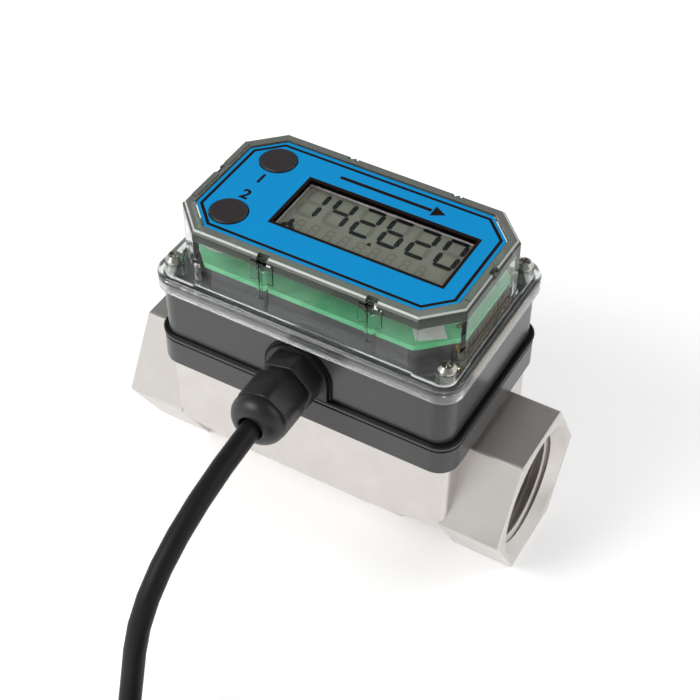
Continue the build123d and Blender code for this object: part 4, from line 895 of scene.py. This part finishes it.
@dataclass
class Electronics:
    """Circuit board with its small parts, the carrier, the cells, the pins and the coil. Millimetres."""

    sticker: tuple = (31.4, -14.9, 7.4, 5.4, 38.0)
    sticker_height: float = 0.1
    chips: tuple = ((14.0, 15.6, 9.0, 5.0, 1.6), (-12.0, 16.2, 6.0, 4.0, 1.4), (28.5, 15.5, 4.5, 4.5, 2.6),
                    (35.4, -4.0, 1.4, 2.4, 0.8))
    chip_edge: float = 0.18
    pads: tuple = ((36.6, -9.5), (36.6, -8.0), (36.6, 9.0), (-36.0, 6.0))
    pad_radius: float = 0.75
    pad_width: float = 0.4
    pad_height: float = 0.12
    finishes: tuple = (
        (BOARD_LACQUER, ("circuit_board",)),
        (CARRIER_PLASTIC, ("module_carrier", "pin_bar", "coil_bobbin")),
        (CELL_WRAP, ("battery_cell_1", "battery_cell_2")), (PIN_GOLD, ("board_pins",)),
        (WINDING_COPPER, ("coil_winding",)))

    def build(self, nodes: Nodes) -> None:
        """Dress the electronics and add the board's small parts."""
        dress_nodes(nodes, self.finishes)
        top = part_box("circuit_board")[1].z / MM
        self.sticker_piece(top)
        self.chip_pieces(top)
        self.pad_pieces(top)

    def sticker_piece(self, top: float) -> None:
        """Add the blank paper sticker near the board's front corner."""
        x, y, length, depth, degrees = self.sticker
        piece = new_plate("board_sticker", 0, 0, 0, length, depth)
        raise_plate(piece, self.sticker_height)
        piece.data.transform(Matrix.Translation(Vector((x, y, top)) * MM) @ Matrix.Rotation(
            math.radians(degrees), 4, "Z"))
        place_piece(piece, STICKER_PAPER)

    def chip_pieces(self, top: float) -> None:
        """Add the moulded chips, each with bevelled edges."""
        for number, (x, y, length, depth, height) in enumerate(self.chips, start=1):
            piece = new_plate(f"board_chip_{number}", x, y, top, length, depth)
            raise_plate(piece, height)
            edit(piece, "EDGE")
            bpy.ops.mesh.bevel(offset=self.chip_edge * MM, segments=2)
            close_edit(piece, smooth_degrees=40)
            place_piece(piece, CHIP_EPOXY)

    def pad_pieces(self, top: float) -> None:
        """Add the gold-plated pads as shallow rings round their holes."""
        rings = []
        for x, y in self.pads:
            ring = new_disc(24, self.pad_radius, x, y, top)
            hollow_out(ring, self.pad_width)
            raise_plate(ring, self.pad_height)
            rings.append(ring)
        place_piece(join(rings, "board_pads"), PIN_GOLD)


@dataclass
class FlowBody:
    """Cast body with a pipe thread cut in each port, from inside its mouth chamfer inwards. Millimetres."""

    axis_z: float = 20.75
    start_x: float = 57.25
    pitch: float = 2.2
    turns: int = 8
    crest_radius: float = 14.95
    root_radius: float = 16.7
    groove_width: float = 2.1
    root_width: float = 0.12
    reach: float = 0.1
    steps: int = 72
    weld: float = 0.0005

    def build(self, nodes: Nodes) -> None:
        """Cut both threads in a merged copy of the body that stands in for it."""
        body = nodes["meter_body"].copy()
        body.data = body.data.copy()
        body.name = "threaded_body"
        bpy.context.scene.collection.objects.link(body)
        edit(body, "VERT")
        bpy.ops.mesh.remove_doubles(threshold=self.weld * MM)
        for side in (-1, 1):
            self.cut(body, self.cutter(side))
        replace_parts(place_piece(body, BODY_STEEL), "meter_body")

    def cutter(self, side: int) -> Piece:
        """Model the groove of one port's thread as a screw of a tapered profile.

        Args:
            side: -1 for the inlet, 1 for the outlet.

        Returns:
            The cutter.
        """
        deselect()
        height = self.root_radius - self.crest_radius + self.reach
        bpy.ops.mesh.primitive_plane_add(size=1, rotation=(math.radians(90), 0, 0))
        groove = bpy.context.object
        groove.scale = (self.groove_width * MM, height * MM, 1)
        bpy.ops.object.transform_apply(location=False, rotation=True, scale=True)
        edit(groove, "VERT")
        bpy.ops.transform.translate(value=(0, 0, (self.root_radius - height / 2) * MM))
        bpy.ops.mesh.delete(type="ONLY_FACE")
        bpy.ops.mesh.select_all(action="DESELECT")
        bpy.ops.object.mode_set(mode="OBJECT")
        for corner in groove.data.vertices:
            corner.select = corner.co.z > self.crest_radius * MM
        bpy.ops.object.mode_set(mode="EDIT")
        taper = self.root_width / self.groove_width
        bpy.ops.transform.resize(value=(taper, 1, 1), center_override=(0, 0, 0))
        bpy.ops.object.mode_set(mode="OBJECT")
        groove.location = (side * self.start_x * MM, 0, self.axis_z * MM)
        winding = groove.modifiers.new("thread", "SCREW")
        winding.axis = "X"
        winding.screw_offset = -side * self.pitch * MM
        winding.iterations = self.turns
        winding.steps = winding.render_steps = self.steps
        winding.use_smooth_shade = False
        focus(groove)
        bpy.ops.object.modifier_apply(modifier=winding.name)
        settle()
        edit(groove, "EDGE")
        bpy.ops.mesh.fill_holes(sides=0)
        close_edit(groove)
        return groove

    @staticmethod
    def cut(body: Piece, cutter: Piece) -> None:
        """Cut one piece out of another and drop it."""
        focus(body)
        difference = body.modifiers.new("cut", "BOOLEAN")
        difference.operation = "DIFFERENCE"
        difference.solver = "EXACT"
        difference.object = cutter
        bpy.ops.object.modifier_apply(modifier=difference.name)
        bpy.data.objects.remove(cutter)


@dataclass
class Casing:
    """The meter's rigid shells, seals, screws, gland and flow parts, which keep their CAD shapes."""

    finishes: tuple = (
        (SUPPORT_STEEL, ("inlet_rotor_support", "outlet_rotor_support")),
        (SPRING_STEEL, ("inlet_retaining_ring", "outlet_retaining_ring")),
        (ROTOR_STEEL, ("turbine_rotor", "rotor_shaft")),
        (BEARING_CERAMIC, ("inlet_shaft_bearing", "outlet_shaft_bearing")),
        (BLACK_RUBBER, ("body_seal", "seam_gasket", "arch_seal", "cover_seal", "gland_insert")),
        (HOUSING_PLASTIC, ("base_housing", "module_housing")), (CLEAR_COVER, ("clear_cover",)),
        (BUTTON_RUBBER, ("upper_button", "lower_button")),
        (GUIDE_PLASTIC, ("button_guide", "upper_switch", "lower_switch")),
        (GLAND_NYLON, ("gland_plate", "gland_body", "gland_nut", "gland_locknut")))

    def build(self, nodes: Nodes) -> None:
        """Dress the shells and the screws."""
        screws = tuple(name for name in nodes if "screw" in name)
        dress_nodes(nodes, (*self.finishes, (SCREW_STEEL, screws)))
        self.paint_cover_shade_and_highlight(nodes["clear_cover"])
        LOG.info("casing dressed")

    @staticmethod
    def paint_cover_shade_and_highlight(cover: Piece, wall_z: float = 77.0, steep: float = 0.5, flat: float = 0.95,
                   plate: tuple[float, float] = (88.0, 91.1)) -> None:
        """Give the window box's walls their painted shade band, the bevel its painted highlight and the
        ceiling its clearer finish.

        Args:
            cover: The clear cover.
            wall_z: Height above which an upright face is a wall of the box, in mm.
            steep: Largest upward share of the normal of an upright face.
            flat: Least upward share of the normal of a level face.
            plate: Heights between which a level face belongs to the thin ceiling, in mm.
        """
        for finish in (PAINTED_SHADE_WALL, CLEAR_WINDOW, PAINTED_HIGHLIGHT_BEVEL):
            cover.data.materials.append(material_of(finish))
        for face in cover.data.polygons:
            tilt, height = abs(face.normal.z), face.center.z / MM
            # Upright faces high on the box get the painted shade band, sloped faces near the top the
            # painted highlight
            if tilt < steep and height > wall_z:
                face.material_index = 1
            elif steep <= tilt < flat and height > plate[0]:
                face.material_index = 3
            elif tilt > flat and plate[0] < height < plate[1]:
                face.material_index = 2


@dataclass
class Gland:
    """Cable gland's hexagon and nut with the rounded corners that moulded nylon has. Millimetres."""

    axis_z: float = 60.0
    face_y: float = -27.4
    hexagon: float = 14.6
    facets: int = 64
    body_turn: float = 15.0
    body_round: float = 1.8
    body_length: float = 5.6
    body_edge: float = 0.35
    neck_radius: float = 6.2
    neck_end_y: float = -41.4
    neck_overlap: float = 0.5
    nut_turn: float = 20.0
    nut_round: float = 3.0
    nut_y: float = -34.8
    nut_edge: float = 0.5
    dome_y: float = -44.4
    dome: tuple = ((0.0, 7.5), (0.25, 7.62), (1.3, 7.6), (2.3, 7.35), (3.1, 6.9), (3.8, 6.3), (4.35, 5.55),
                   (4.7, 4.8), (4.87, 4.1), (4.9, 3.6), (4.7, 3.4), (2.4, 3.3))

    def build(self) -> list[Piece]:
        """Build both pieces and return them."""
        return [self.body(), self.nut()]

    def body(self) -> Piece:
        """Model the wrench hexagon on the housing with its neck."""
        flange = self.prism(self.body_turn, self.body_round, self.face_y, self.body_length, self.body_edge)
        start, end = self.face_y - self.body_length + self.neck_overlap, self.neck_end_y
        deselect()
        bpy.ops.mesh.primitive_cylinder_add(
            vertices=self.facets, radius=self.neck_radius * MM, depth=(start - end) * MM,
            location=(0, (start + end) / 2 * MM, self.axis_z * MM), rotation=(math.radians(90), 0, 0))
        return self.finish([flange, settle()], "gland_hexagon", "gland_body")

    def nut(self) -> Piece:
        """Model the nut: a softened hexagon and a wider dome with the cable's mouth."""
        length = self.nut_y - self.dome_y
        prism = self.prism(self.nut_turn, self.nut_round, self.nut_y, length, self.nut_edge)
        deselect()
        start, radius = self.dome[0]
        bpy.ops.mesh.primitive_circle_add(vertices=self.facets, radius=radius * MM, fill_type="NGON",
                                          location=(0, (self.dome_y - start) * MM, self.axis_z * MM),
                                          rotation=(math.radians(90), 0, 0))
        dome = settle()
        edit(dome)
        for (last, wide), (reach, narrow) in zip(self.dome, self.dome[1:]):
            bpy.ops.mesh.extrude_region_move(TRANSFORM_OT_translate={"value": (0, (last - reach) * MM, 0)})
            share = narrow / wide
            centre = (0, (self.dome_y - reach) * MM, self.axis_z * MM)
            bpy.ops.transform.resize(value=(share, 1, share), center_override=centre)
        close_edit(dome, smooth_degrees=50)
        return self.finish([prism, dome], "gland_dome_nut", "gland_nut")

    def prism(self, turn: float, rounding: float, start: float, length: float, edge: float) -> Piece:
        """Model a hexagonal prism along the cable with rounded corners and softened ends.

        Args:
            turn: Its turn about the cable, in degrees.
            rounding: Radius of its corners, in mm.
            start: Its end nearer the housing along Y, in mm.
            length: Its length, in mm.
            edge: Rounding of its ends, in mm.

        Returns:
            The prism.
        """
        deselect()
        bpy.ops.mesh.primitive_circle_add(
            vertices=6, radius=self.hexagon / 2 / math.cos(math.radians(30)) * MM, fill_type="NGON")
        piece = bpy.context.object
        for step in (Matrix.Rotation(math.radians(turn + 30), 4, "Z"),
                     Matrix.Rotation(math.radians(90), 4, "X"),
                     Matrix.Translation(Vector((0, start, self.axis_z)) * MM)):
            piece.data.transform(step)
        edit(piece, "VERT")
        bpy.ops.mesh.bevel(offset=rounding * math.tan(math.radians(30)) * MM, affect="VERTICES", segments=6)
        edit(piece)
        bpy.ops.mesh.extrude_region_move(TRANSFORM_OT_translate={"value": (0, -length * MM, 0)})
        close_edit(piece)
        rim = piece.modifiers.new("rim", "BEVEL")
        rim.width = edge * MM
        rim.segments = 3
        rim.angle_limit = math.radians(60)
        bpy.ops.object.modifier_apply(modifier=rim.name)
        close_edit(piece, smooth_degrees=35)
        return piece

    @staticmethod
    def finish(parts: list[Piece], name: str, node: str) -> Piece:
        """Join the parts to one piece that stands in for a node."""
        piece = place_piece(join(parts, name), GLAND_NYLON)
        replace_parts(piece, node)
        return piece


def main() -> None:
    """Build the studio, the cable and the meter's sub-assemblies in order."""
    logging.basicConfig(level=logging.INFO, format="%(name)s: %(message)s")
    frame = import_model()
    nodes = frame["nodes"]
    bpy.context.scene.view_settings.view_transform = "Standard"
    Studio().build()
    SignalCable().build(nodes, Gland().build())
    FlowBody().build(nodes)
    Casing().build(nodes)
    FaceLabel().build(nodes)
    DisplayModule().build(nodes)
    Electronics().build(nodes)


if __name__ == "__main__":
    main()
